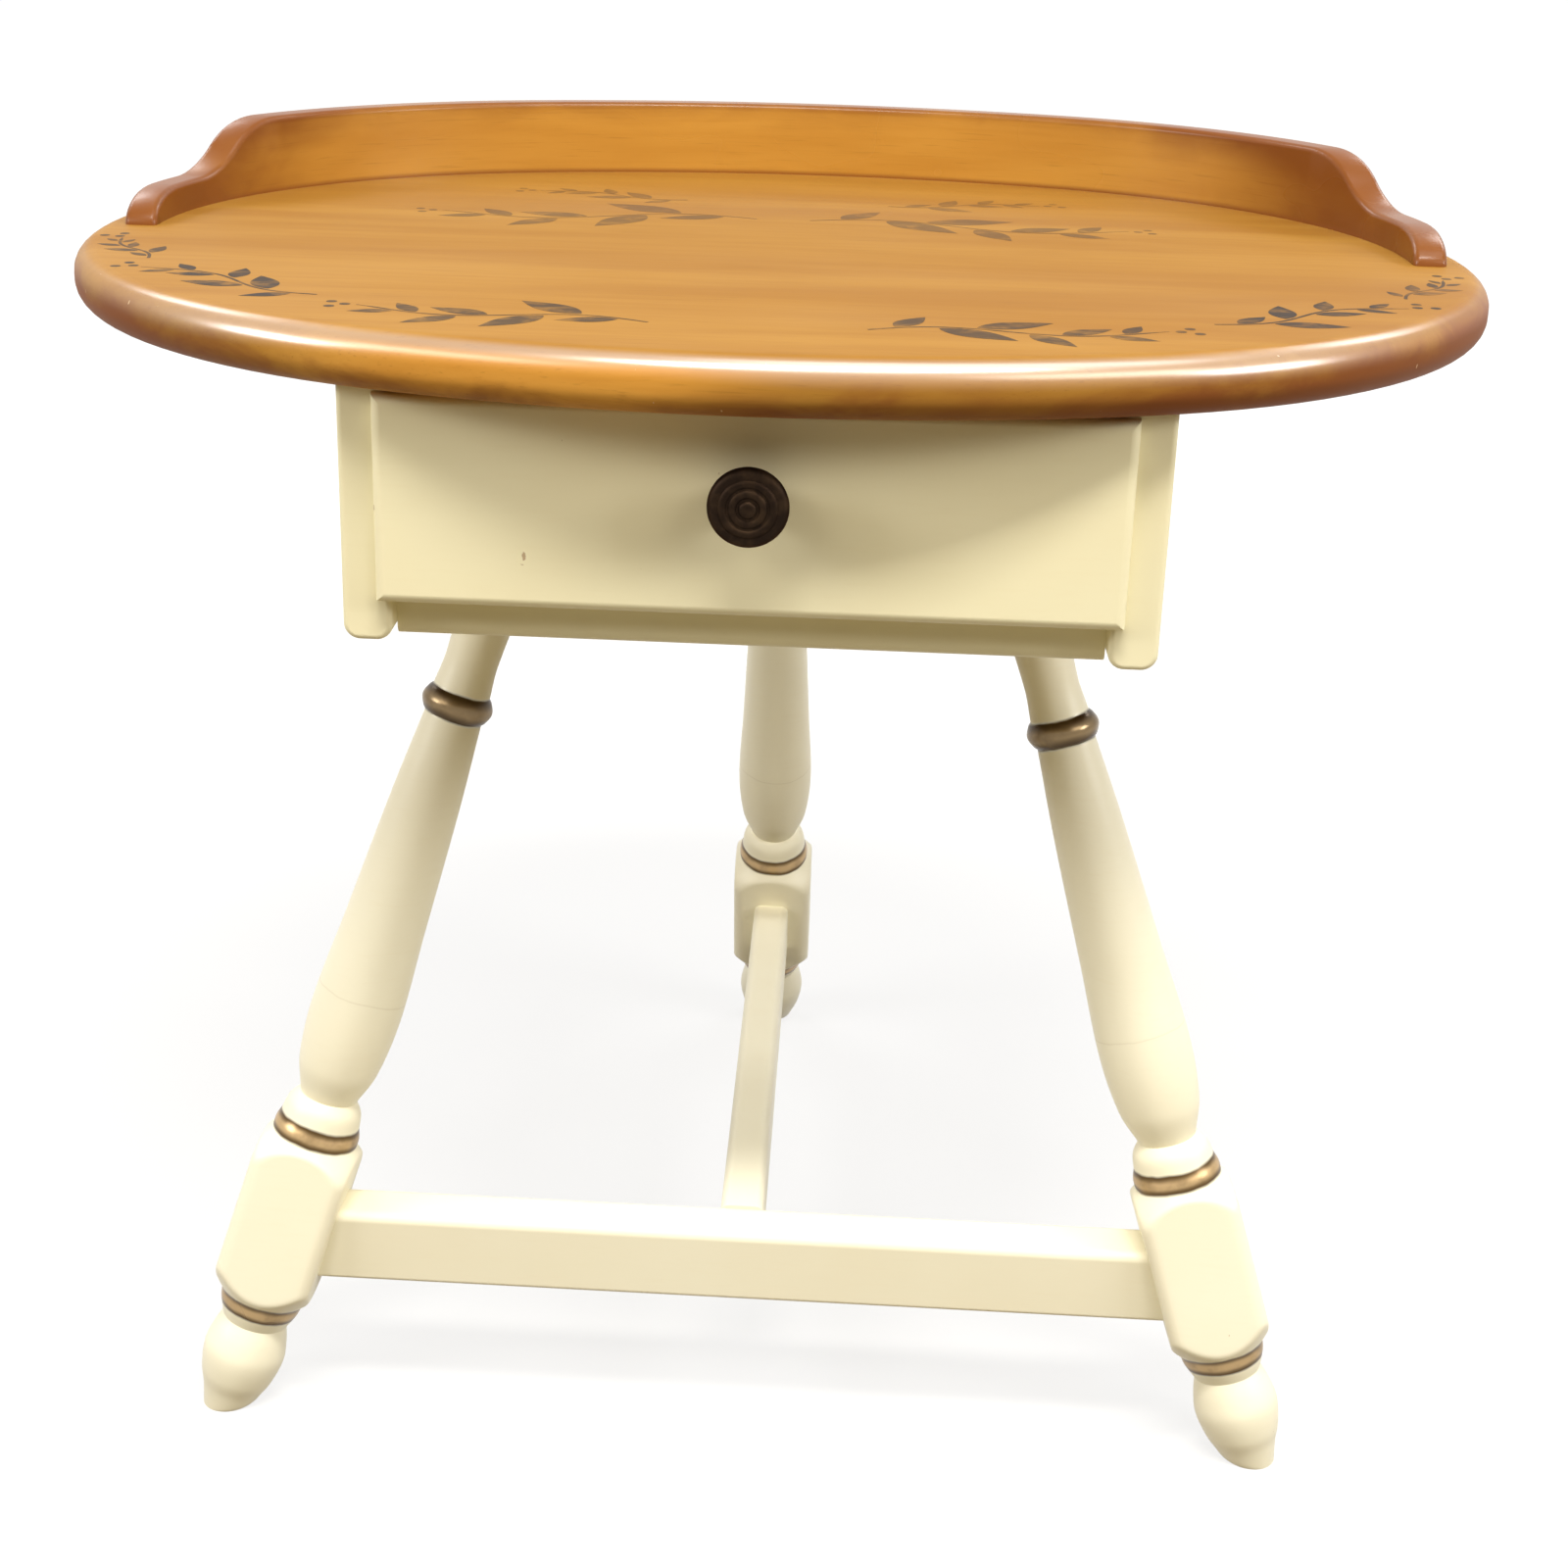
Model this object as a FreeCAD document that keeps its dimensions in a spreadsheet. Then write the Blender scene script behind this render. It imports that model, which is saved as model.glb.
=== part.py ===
import FreeCAD, Part
import Sketcher
import math
import os

# Tavern table: an oval top with a low gallery round its back half, a painted case with one
# lipped drawer, and three turned, splayed legs tied by a T-shaped stretcher.
# Millimetres. X runs along the top's length, -Y is the drawer side, Z is up from the floor.

# ---------------------------------------------------------------- driving dimensions

SIZES = {
    # oval top, drawn with four arcs
    "top_width": 682,
    "top_depth": 560,
    "top_end_radius": 268,
    "top_thick": 25.4,
    "top_edge_round": 11,
    "table_height": 587.5,
    # gallery: a low wall that stands on the top
    "gallery_inset": 16.5,
    "gallery_thick": 16,
    "gallery_height": 40,
    "gallery_housing": 3,
    "gallery_forward": 14,
    "gallery_lobe_length": 40,
    "gallery_lobe_height": 15,
    "gallery_step_length": 28,
    "gallery_ogee_length": 66,
    "gallery_ease": 3,
    "gallery_dowel_radius": 4,
    "gallery_dowel_length": 28,
    "gallery_dowel_count": 7,
    "gallery_dowel_end_angle": 16,
    # case
    "case_width": 343.4,
    "case_front": 234,
    "case_back": 234,
    "panel_thick": 21,
    "case_height": 111.1,
    "panel_round": 7,
    "panel_ease": 2.5,
    "board_drop": 1,
    "board_thick": 32,
    "board_recess": 12,
    "board_round": 5,
    "back_thick": 16,
    "rail_height": 20,
    "rail_depth": 60,
    "kicker_width": 22,
    "kicker_height": 22,
    "runner_width": 20,
    "runner_height": 6,
    "dowel_radius": 4,
    "dowel_length": 30,
    "screw_radius": 2.2,
    "screw_head_radius": 4.4,
    "screw_head_height": 2.6,
    "screw_bite": 15,
    # drawer
    "lip_thick": 7,
    "lip_overlap": 5.4,
    "front_height": 88.9,
    "front_top_gap": 3,
    "front_round": 4,
    "drawer_gap": 0.4,
    "side_gap": 1,
    "slide_gap": 0.3,
    "kicker_gap": 2,
    "drawer_depth": 352,
    "drawer_side_thick": 12,
    "drawer_back_thick": 12,
    "drawer_bottom_thick": 5,
    "drawer_bottom_rise": 6,
    "groove_depth": 6,
    "stop_width": 160,
    "stop_rise": 6,
    "tail_length": 8,
    "tail_height": 15,
    "tail_flare": 2.5,
    # knob
    "knob_drop": 36.1,
    "knob_radius": 16.4,
    "knob_length": 25,
    "knob_foot_radius": 10,
    "knob_foot_height": 2,
    "knob_neck_radius": 7.5,
    "knob_neck_height": 6.75,
    "knob_flare_radius": 9.75,
    "knob_flare_height": 12,
    "knob_rim_height": 18,
    "knob_button_radius": 3.9,
    "knob_groove": 0.65,
    "knob_ring_height": 1.2,
    "knob_screw_radius": 2,
    "knob_screw_bite": 12,
    # legs: heights are measured along the leg's own axis and stack up from the floor
    "leg_splay": 20,
    "leg_quirk": 1.5,
    "foot_circle_radius": 306.5,
    "foot_reach": 12.7,
    "sole_radius": 12,
    "sole_round": 2.5,
    "foot_radius": 21.7,
    "foot_swell_height": 29,
    "foot_height": 48,
    "foot_neck_radius": 16.9,
    "cove_height": 5,
    "lower_ring_radius": 20.6,
    "lower_ring_height": 9,
    "block_side": 50,
    "block_length": 91.5,
    "block_ease": 6,
    "lower_shoulder": 19,
    "upper_shoulder": 17,
    "upper_ring_radius": 22,
    "upper_ring_height": 9.5,
    "cup_height": 13.5,
    "cup_neck_radius": 14.3,
    "vase_height": 209,
    "vase_swell_height": 48,
    "vase_radius": 23,
    "vase_top_radius": 14.5,
    "top_ring_height": 13.5,
    "top_ring_radius": 18,
    "leg_neck_radius": 13.3,
    "leg_neck_height": 17,
    "leg_tenon_radius": 16,
    "socket_depth": 25,
    # stretchers
    "stretcher_bottom": 74,
    "stretcher_height": 38.5,
    "stretcher_thick": 27,
    "middle_thick": 22,
    "stretcher_top_round": 4.5,
    "stretcher_bottom_round": 2.5,
    "tenon_thick": 12,
    "tenon_height": 26,
    "tenon_backset": 8,
    "stub_tenon": 12,
}

doc = FreeCAD.newDocument("TavernTable")
sheet = doc.addObject("Spreadsheet::Sheet", "Sizes")
for row, (alias, number) in enumerate(SIZES.items(), start=1):
    sheet.set("A%d" % row, alias)
    sheet.set("B%d" % row, str(number))
    sheet.setAlias("B%d" % row, alias)
doc.recompute()

# ---------------------------------------------------------------- derived places, as expressions

# The origin lies on the floor under the middle of the whole outline, front edge to back foot.
CENTRE_Y = "(Sizes.top_depth / 2 - Sizes.foot_circle_radius - Sizes.foot_reach) / 2"
TOP_UNDERSIDE = "(Sizes.table_height - Sizes.top_thick)"
CASE_HALF = "(Sizes.case_width / 2)"
INNER_HALF = "(Sizes.case_width / 2 - Sizes.panel_thick)"
CASE_FRONT_Y = "(%s - Sizes.case_front)" % CENTRE_Y
CASE_BACK_Y = "(%s + Sizes.case_back)" % CENTRE_Y
BACK_FACE_Y = "(%s - Sizes.back_thick)" % CASE_BACK_Y
RECESS_Y = "(%s + Sizes.board_recess)" % CASE_FRONT_Y
RAIL_REAR_Y = "(%s + Sizes.rail_depth)" % RECESS_Y
RAIL_BOTTOM = "(%s - Sizes.rail_height)" % TOP_UNDERSIDE
PANEL_BOTTOM = "(%s - Sizes.case_height)" % TOP_UNDERSIDE
BOARD_BOTTOM = "(%s - Sizes.board_drop)" % PANEL_BOTTOM
BOARD_TOP = "(%s + Sizes.board_thick)" % BOARD_BOTTOM
KICKER_BOTTOM = "(%s - Sizes.kicker_height)" % TOP_UNDERSIDE

FRONT_REAR_Y = "(%s - Sizes.drawer_gap)" % RECESS_Y
DRAWER_HALF = "(%s - Sizes.side_gap)" % INNER_HALF
DRAWER_BASE = "(%s + Sizes.runner_height + Sizes.slide_gap)" % BOARD_TOP
DRAWER_SIDE_TOP = "(%s - Sizes.kicker_gap)" % KICKER_BOTTOM
DRAWER_REAR_Y = "(%s + Sizes.drawer_depth)" % FRONT_REAR_Y
DRAWER_BACK_Y = "(%s - Sizes.drawer_back_thick)" % DRAWER_REAR_Y
DRAWER_FLOOR = "(%s + Sizes.drawer_bottom_rise)" % DRAWER_BASE
DRAWER_FACE_Y = "(%s - Sizes.drawer_gap - Sizes.lip_thick)" % CASE_FRONT_Y
FRONT_TOP = "(%s - Sizes.front_top_gap)" % TOP_UNDERSIDE
FRONT_BOTTOM = "(%s - Sizes.front_height)" % FRONT_TOP
KNOB_LEVEL = "(%s - Sizes.knob_drop)" % FRONT_TOP

STRETCHER_MIDDLE = "(Sizes.stretcher_bottom + Sizes.stretcher_height / 2)"
STRETCHER_REACH = "(Sizes.foot_circle_radius - %s * tan(Sizes.leg_splay))" % STRETCHER_MIDDLE
FRONT_STRETCHER_Y = "(%s - %s * sin(30))" % (CENTRE_Y, STRETCHER_REACH)
FRONT_STRETCHER_END = "(%s * cos(30) - Sizes.tenon_backset)" % STRETCHER_REACH
MIDDLE_STRETCHER_END = "(%s + %s - Sizes.tenon_backset)" % (CENTRE_Y, STRETCHER_REACH)

LEG_AZIMUTHS = {"left_front_leg": 210, "right_front_leg": 330, "back_leg": 90}
LEG_LENGTH = "(%s / cos(Sizes.leg_splay) + Sizes.socket_depth)" % BOARD_BOTTOM
BLOCK_START = "(Sizes.foot_height + Sizes.cove_height + Sizes.lower_ring_height)"
BLOCK_END = "(%s + Sizes.block_length)" % BLOCK_START


def value(text):
    """The number that an expression of the sheet's names gives."""
    result = sheet.evalExpression(text)
    return float(getattr(result, "Value", result))


def size(alias):
    return float(getattr(sheet, alias))


# ---------------------------------------------------------------- drawing helpers

def new_body(label):
    body = doc.addObject("PartDesign::Body", label)
    body.Label = label
    return body


def new_sketch(body, role, lift="0"):
    """A sketch on one of the body's own origin planes, lifted off it along its normal."""
    sketch = body.newObject("Sketcher::SketchObject", body.Name + "_sketch")
    origin_plane = next(f for f in body.Origin.OriginFeatures if f.Role == role)
    sketch.AttachmentSupport = [(origin_plane, "")]
    sketch.MapMode = "FlatFace"
    sketch.setExpression("AttachmentOffset.Base.z", lift)
    return sketch


def tie(sketch, element, end, across, up):
    """Ties one end of a sketch element to the sketch's axes by two bound distances."""
    for kind, text in (("DistanceX", across), ("DistanceY", up)):
        constraint = Sketcher.Constraint(kind, -1, 1, element, end, value(text))
        index = sketch.addConstraint(constraint)
        sketch.setExpression("Constraints[%d]" % index, text)


def polygon(sketch, corners):
    """A closed straight-sided outline, with every corner tied to the sheet."""
    places = [FreeCAD.Vector(value(across), value(up), 0) for across, up in corners]
    count = len(corners)
    lines = []
    for index in range(count):
        line = Part.LineSegment(places[index], places[(index + 1) % count])
        lines.append(sketch.addGeometry(line, False))
    for index in range(count):
        joint = Sketcher.Constraint("Coincident", lines[index], 2, lines[(index + 1) % count], 1)
        sketch.addConstraint(joint)
        tie(sketch, lines[index], 1, *corners[index])


def rectangle(sketch, left, bottom, right, top):
    polygon(sketch, [(left, bottom), (right, bottom), (right, top), (left, top)])


class Pen:
    """Draws half of a turned section upwards: radius across, distance along the axis."""

    def __init__(self, sketch, radius, along, upwards=1):
        self.sketch = sketch
        self.upwards = upwards
        self.radius = radius
        self.along = along

    def spot(self, radius, along):
        return FreeCAD.Vector(radius, along * self.upwards, 0)

    def move(self, radius, along, curve):
        self.sketch.addGeometry(curve, False)
        self.radius = radius
        self.along = along

    def line(self, radius, along):
        start = self.spot(self.radius, self.along)
        self.move(radius, along, Part.LineSegment(start, self.spot(radius, along)))

    def arc(self, radius, along, bulge):
        """An arc that stands this far out (or, if negative, in) from its own chord."""
        start = self.spot(self.radius, self.along)
        end = self.spot(radius, along)
        chord = end - start
        out = FreeCAD.Vector(abs(chord.y), -chord.x * self.upwards, 0).normalize()
        middle = (start + end) / 2 + out * bulge
        self.move(radius, along, Part.Arc(start, middle, end))

    def curve(self, radius, along, *passes):
        """A smooth curve by way of the (radius, along) pairs in passes."""
        spots = [(self.radius, self.along), *passes, (radius, along)]
        spline = Part.BSplineCurve()
        spline.interpolate([self.spot(*each) for each in spots])
        self.move(radius, along, spline)


def circle(sketch, across, up, radius):
    centre = FreeCAD.Vector(value(across), value(up), 0)
    ring = Part.Circle(centre, FreeCAD.Vector(0, 0, 1), value(radius))
    element = sketch.addGeometry(ring, False)
    tie(sketch, element, 3, across, up)
    index = sketch.addConstraint(Sketcher.Constraint("Radius", element, value(radius)))
    sketch.setExpression("Constraints[%d]" % index, radius)


def feature(body, kind, sketch, **bound):
    """A sketch-based feature of the body, its properties bound to expressions."""
    made = body.newObject("PartDesign::" + kind, body.Name + "_" + kind.lower())
    made.Profile = sketch
    for name, text in bound.items():
        made.setExpression(name, text)
    return made


def round_edges(body, radius, chosen):
    """Rounds those edges of the body's tip for which chosen(edge) is true."""
    doc.recompute()
    base = body.Tip
    names = []
    for number, edge in enumerate(base.Shape.Edges, start=1):
        if chosen(edge):
            names.append("Edge%d" % number)
    fillet = body.newObject("PartDesign::Fillet", body.Name + "_round")
    fillet.Base = (base, names)
    fillet.setExpression("Radius", radius)
    return fillet


def place(piece, x, y, z):
    piece.setExpression("Placement.Base.x", x)
    piece.setExpression("Placement.Base.y", y)
    piece.setExpression("Placement.Base.z", z)


def board(label, low, high):
    """A plain rectangular board between two corners, drawn in plan and padded upwards."""
    body = new_body(label)
    spans = ["(%s) - (%s)" % (top, bottom) for bottom, top in zip(low, high)]
    sketch = new_sketch(body, "XY_Plane")
    rectangle(sketch, "0", "0", spans[0], spans[1])
    feature(body, "Pad", sketch, Length=spans[2])
    place(body, *low)
    return body


def runs_along(edge, axis):
    """True for a straight edge that runs along one axis, 0 for X, 1 for Y and 2 for Z."""
    if edge.Curve.TypeId != "Part::GeomLine":
        return False
    along = edge.tangentAt(edge.FirstParameter)
    return abs(along[axis]) > 0.999


def cylinder(label, radius, length, x, y, z, axis=(0, 0, 1)):
    rod = doc.addObject("Part::Cylinder", label)
    rod.setExpression("Radius", radius)
    rod.setExpression("Height", length)
    rod.Placement.Rotation = FreeCAD.Rotation(FreeCAD.Vector(0, 0, 1), FreeCAD.Vector(*axis))
    place(rod, x, y, z)
    return rod


def group(label, members):
    """Separate like solids that share one node."""
    compound = doc.addObject("Part::Compound", label)
    compound.Label = label
    compound.Links = members
    return compound


def cut(label, base, *tools):
    """The base less its tools, as a sub-part of its own."""
    base.Label = label + "_blank"
    tool = tools[0] if len(tools) == 1 else group(label + "_cuts", list(tools))
    result = doc.addObject("Part::Cut", label)
    result.Base = base
    result.Tool = tool
    result.Label = label
    return result


# ---------------------------------------------------------------- oval outline

def oval_arcs(inset):
    """Centre offset and radii of the four-arc oval, and the angle where the arcs meet."""
    end_radius = size("top_end_radius")
    end_centre = size("top_width") / 2 - end_radius
    narrowing = size("top_depth") / 2 - end_radius
    side_centre = (end_centre ** 2 - narrowing ** 2) / (2 * narrowing)
    side_radius = side_centre + size("top_depth") / 2
    meeting = math.atan2(side_centre, end_centre)
    return end_centre, end_radius - inset, side_centre, side_radius - inset, meeting


def oval_point(inset, angle):
    """The point of the oval whose outward normal points at this angle."""
    end_centre, end_radius, side_centre, side_radius, meeting = oval_arcs(inset)
    steep = math.atan2(abs(math.sin(angle)), abs(math.cos(angle))) > meeting
    if steep:
        centre = FreeCAD.Vector(0, -math.copysign(side_centre, math.sin(angle)), 0)
        radius = side_radius
    else:
        centre = FreeCAD.Vector(math.copysign(end_centre, math.cos(angle)), 0, 0)
        radius = end_radius
    return centre + FreeCAD.Vector(math.cos(angle), math.sin(angle), 0) * radius


def oval_arc(sketch, inset, start, end):
    middle = (start + end) / 2
    corners = [oval_point(inset, angle) for angle in (start, middle, end)]
    sketch.addGeometry(Part.Arc(*corners), False)


def end_angle(inset):
    """Normal angle of the oval where it passes the gallery's end, in front of the centre line."""
    end_radius = oval_arcs(inset)[1]
    return -math.asin(size("gallery_forward") / end_radius)


# ---------------------------------------------------------------- top and gallery

def gallery_dowels():
    """Dowels on the gallery's middle line, half in the top and half in the gallery."""
    middle_inset = size("gallery_inset") + size("gallery_thick") / 2
    first = math.radians(size("gallery_dowel_end_angle"))
    count = int(size("gallery_dowel_count"))
    step = (math.pi - 2 * first) / (count - 1)
    low = "Sizes.table_height - Sizes.gallery_dowel_length / 2"
    dowels = []
    for index in range(count):
        spot = oval_point(middle_inset, first + index * step)
        y = "%s + (%r)" % (CENTRE_Y, spot.y)
        dowel = cylinder("gallery_dowel", "Sizes.gallery_dowel_radius",
                         "Sizes.gallery_dowel_length", repr(spot.x), y, low)
        dowels.append(dowel)
    return group("gallery_dowels", dowels)


def gallery_plan(sketch):
    """The gallery's closed outline in plan, for the wall itself and for its groove in the top."""
    meeting = oval_arcs(0)[4]
    outer = size("gallery_inset")
    inner = outer + size("gallery_thick")
    for inset in (outer, inner):
        tip = end_angle(inset)
        stops = [tip, meeting, math.pi - meeting, math.pi - tip]
        for start, end in zip(stops, stops[1:]):
            oval_arc(sketch, inset, start, end)
    for side in (end_angle, lambda inset: math.pi - end_angle(inset)):
        ends = [oval_point(inset, side(inset)) for inset in (outer, inner)]
        sketch.addGeometry(Part.LineSegment(*ends), False)


def tabletop(dowels, screws):
    """The solid oval top: both rims fully rounded, and a shallow groove that houses the gallery."""
    body = new_body("tabletop")
    sketch = new_sketch(body, "XY_Plane")
    meeting = oval_arcs(0)[4]
    stops = [-meeting, meeting, math.pi - meeting, math.pi + meeting, 2 * math.pi - meeting]
    for start, end in zip(stops, stops[1:]):
        oval_arc(sketch, 0, start, end)
    feature(body, "Pad", sketch, Length="Sizes.top_thick")
    round_edges(body, "Sizes.top_edge_round", lambda edge: not runs_along(edge, 2))
    groove = new_sketch(body, "XY_Plane", "Sizes.top_thick")
    gallery_plan(groove)
    feature(body, "Pocket", groove, Length="Sizes.gallery_housing")
    place(body, "0", CENTRE_Y, TOP_UNDERSIDE)
    return cut("tabletop", body, dowels, screws)


def gallery(dowels):
    """A curved wall housed in the back half of the top, its ends cut to a lobe and an ogee."""
    body = new_body("gallery")
    sketch = new_sketch(body, "XY_Plane", "-Sizes.gallery_housing")
    gallery_plan(sketch)
    feature(body, "Pad", sketch, Length="Sizes.gallery_height + Sizes.gallery_housing")

    profile = new_sketch(body, "YZ_Plane")
    end_profile(profile)
    pocket = feature(body, "Pocket", profile, Length="2 * Sizes.top_width")
    pocket.Midplane = True
    ease = size("gallery_ease")

    def on_the_crest(edge):
        """Long edges of the top face and of the shaped ends, on either side of the wall."""
        box = edge.BoundBox
        crosswise = edge.Length < 1.2 * size("gallery_thick")
        upright = box.ZLength > 0.9 * size("gallery_lobe_height") and box.YLength < ease
        return box.ZMax > ease and not crosswise and not upright

    round_edges(body, "Sizes.gallery_ease", on_the_crest)
    place(body, "0", CENTRE_Y, "Sizes.table_height")
    return cut("gallery", body, dowels)


def end_profile(sketch):
    """What is sawn off above the gallery's ends: a quarter lobe, a level step, then an ogee."""
    front = -size("gallery_forward")
    lobe_end = front + size("gallery_lobe_length")
    step_end = lobe_end + size("gallery_step_length")
    ogee_end = step_end + size("gallery_ogee_length")
    low = size("gallery_lobe_height")
    high = size("gallery_height")
    ogee_middle = (step_end + ogee_end) / 2
    ogee_level = (low + high) / 2
    half_run = (ogee_end - step_end) / 2
    half_rise = (high - low) / 2
    ogee_radius = (half_run ** 2 + half_rise ** 2) / (2 * half_rise)
    turn = math.asin(half_run / ogee_radius) / 2
    dip = ogee_radius * (1 - math.cos(turn))
    reach = ogee_radius * math.sin(turn)

    def spot(y, z):
        return FreeCAD.Vector(y, z, 0)

    lobe = Part.Ellipse(spot(lobe_end, 0), size("gallery_lobe_length"), low)
    sketch.addGeometry(Part.ArcOfEllipse(lobe, math.pi / 2, math.pi), False)
    sketch.addGeometry(Part.LineSegment(spot(lobe_end, low), spot(step_end, low)), False)
    hollow = (spot(step_end, low), spot(step_end + reach, low + dip),
              spot(ogee_middle, ogee_level))
    sketch.addGeometry(Part.Arc(*hollow), False)
    swell = (spot(ogee_middle, ogee_level), spot(ogee_end - reach, high - dip),
             spot(ogee_end, high))
    sketch.addGeometry(Part.Arc(*swell), False)
    clear = high
    corners = [spot(ogee_end, high), spot(ogee_end, high + clear),
               spot(front - clear, high + clear), spot(front - clear, 0), spot(front, 0)]
    for start, end in zip(corners, corners[1:]):
        sketch.addGeometry(Part.LineSegment(start, end), False)


# ---------------------------------------------------------------- fasteners

def screw(label, x, y, z, depth):
    """A countersunk wood screw driven upwards, its head flush with the face at height z."""
    shank = cylinder(label, "Sizes.screw_radius", depth, x, y, z)
    head = doc.addObject("Part::Cone", label + "_head")
    head.setExpression("Radius1", "Sizes.screw_head_radius")
    head.setExpression("Radius2", "Sizes.screw_radius")
    head.setExpression("Height", "Sizes.screw_head_height")
    place(head, x, y, z)
    whole = doc.addObject("Part::Fuse", label + "_whole")
    whole.Base = shank
    whole.Tool = head
    return whole


def tabletop_screws():
    """Screws that hold the top down, up through the front rail and both kickers."""
    rail_y = "(%s + %s) / 2" % (RECESS_Y, RAIL_REAR_Y)
    kicker_x = "(%s - Sizes.kicker_width / 2)" % INNER_HALF
    kicker_run = "(%s - %s)" % (BACK_FACE_Y, RAIL_REAR_Y)
    rail_depth = "Sizes.rail_height + Sizes.screw_bite"
    kicker_depth = "Sizes.kicker_height + Sizes.screw_bite"
    screws = []
    for sign in ("-", ""):
        rail_x = "%s(%s / 2)" % (sign, INNER_HALF)
        screws.append(screw("rail_screw", rail_x, rail_y, RAIL_BOTTOM, rail_depth))
        for share in ("1 / 4", "3 / 4"):
            y = "%s + %s * %s" % (RAIL_REAR_Y, kicker_run, share)
            x = sign + kicker_x
            screws.append(screw("kicker_screw", x, y, KICKER_BOTTOM, kicker_depth))
    return group("tabletop_screws", screws)


def case_dowels():
    """Dowels that join the bottom board, the back and the front rail to the side panels."""
    run = "(%s - %s)" % (BACK_FACE_Y, RECESS_Y)
    board_level = "%s + Sizes.board_thick / 2" % BOARD_BOTTOM
    spots = []
    for share in ("1 / 6", "3 / 6", "5 / 6"):
        spots.append(("%s + %s * %s" % (RECESS_Y, run, share), board_level))
    back_y = "%s - Sizes.back_thick / 2" % CASE_BACK_Y
    for share in ("1 / 4", "3 / 4"):
        spots.append((back_y, "%s + Sizes.case_height * %s" % (PANEL_BOTTOM, share)))
    rail_level = "%s - Sizes.rail_height / 2" % TOP_UNDERSIDE
    spots.append(("(%s + %s) / 2" % (RECESS_Y, RAIL_REAR_Y), rail_level))
    dowels = []
    for sign in ("-", ""):
        start = "%s%s - Sizes.dowel_length / 2" % (sign, INNER_HALF)
        for y, z in spots:
            dowel = cylinder("case_dowel", "Sizes.dowel_radius", "Sizes.dowel_length",
                             start, y, z, axis=(1, 0, 0))
            dowels.append(dowel)
    return group("case_dowels", dowels)


# ---------------------------------------------------------------- case

def side_panel(label, low_x, high_x, dowels):
    """A side panel with its long lower edges rounded and its upright edges eased."""
    body = board(label, (low_x, CASE_FRONT_Y, PANEL_BOTTOM),
                 (high_x, CASE_BACK_Y, TOP_UNDERSIDE))
    round_edges(body, "Sizes.panel_round",
                lambda edge: runs_along(edge, 1) and edge.BoundBox.ZMax < 1)
    round_edges(body, "Sizes.panel_ease",
                lambda edge: runs_along(edge, 2) and edge.BoundBox.YMax < 1)
    return cut(label, body, dowels)


def bottom_board(sockets, dowels):
    """The thick board between the panels that carries the legs in angled sockets."""
    body = board("bottom_board", ("-" + INNER_HALF, RECESS_Y, BOARD_BOTTOM),
                 (INNER_HALF, BACK_FACE_Y, BOARD_TOP))
    round_edges(body, "Sizes.board_round",
                lambda edge: runs_along(edge, 0) and edge.BoundBox.ZMax < 1
                and edge.BoundBox.YMax < 1)
    return cut("bottom_board", body, sockets, dowels)


def case_pieces(screws, dowels, sockets):
    left = side_panel("left_side_panel", "-" + CASE_HALF, "-" + INNER_HALF, dowels)
    right = side_panel("right_side_panel", INNER_HALF, CASE_HALF, dowels)
    base = bottom_board(sockets, dowels)
    back = board("back_panel", ("-" + INNER_HALF, BACK_FACE_Y, PANEL_BOTTOM),
                 (INNER_HALF, CASE_BACK_Y, TOP_UNDERSIDE))
    rail = board("front_top_rail", ("-" + INNER_HALF, RECESS_Y, RAIL_BOTTOM),
                 (INNER_HALF, RAIL_REAR_Y, TOP_UNDERSIDE))
    pieces = [left, right, base, cut("back_panel", back, dowels),
              cut("front_top_rail", rail, screws, dowels)]
    kicker_inner = "(%s - Sizes.kicker_width)" % INNER_HALF
    runner_inner = "(%s - Sizes.runner_width)" % INNER_HALF
    spans = {"left": ("-" + INNER_HALF, "-" + kicker_inner, "-" + runner_inner),
             "right": (kicker_inner, INNER_HALF, INNER_HALF)}
    for hand, (kicker_low, kicker_high, runner_high) in spans.items():
        kicker = board(hand + "_kicker", (kicker_low, RAIL_REAR_Y, KICKER_BOTTOM),
                       (kicker_high, BACK_FACE_Y, TOP_UNDERSIDE))
        pieces.append(cut(hand + "_kicker", kicker, screws))
        runner_low = kicker_low if hand == "left" else runner_inner
        pieces.append(board(hand + "_runner", (runner_low, RECESS_Y, BOARD_TOP),
                            (runner_high, BACK_FACE_Y, BOARD_TOP + " + Sizes.runner_height")))
    return pieces


# ---------------------------------------------------------------- legs

def leg_rotation(azimuth):
    """Turns a leg's own axis (Z) inwards by the splay, then round to its corner."""
    tilt = FreeCAD.Rotation(FreeCAD.Vector(1, 0, 0), size("leg_splay"))
    turn = FreeCAD.Rotation(FreeCAD.Vector(0, 0, 1), azimuth - 90)
    return turn.multiply(tilt)


def put_on_foot_circle(piece, azimuth, along="0"):
    """Puts a leg, or a tool that starts this far up its axis, at its place in the tripod."""
    piece.Placement.Rotation = leg_rotation(azimuth)
    radius = "(Sizes.foot_circle_radius - (%s) * sin(Sizes.leg_splay))" % along
    x = "%s * cos(%d)" % (radius, azimuth)
    y = "%s + %s * sin(%d)" % (CENTRE_Y, radius, azimuth)
    place(piece, x, y, "(%s) * cos(Sizes.leg_splay)" % along)


def waypoint(start, end, shares):
    """A (radius, along) pair between two others, at these shares of the change in each."""
    return tuple(low + (high - low) * share for low, high, share in zip(start, end, shares))


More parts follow.
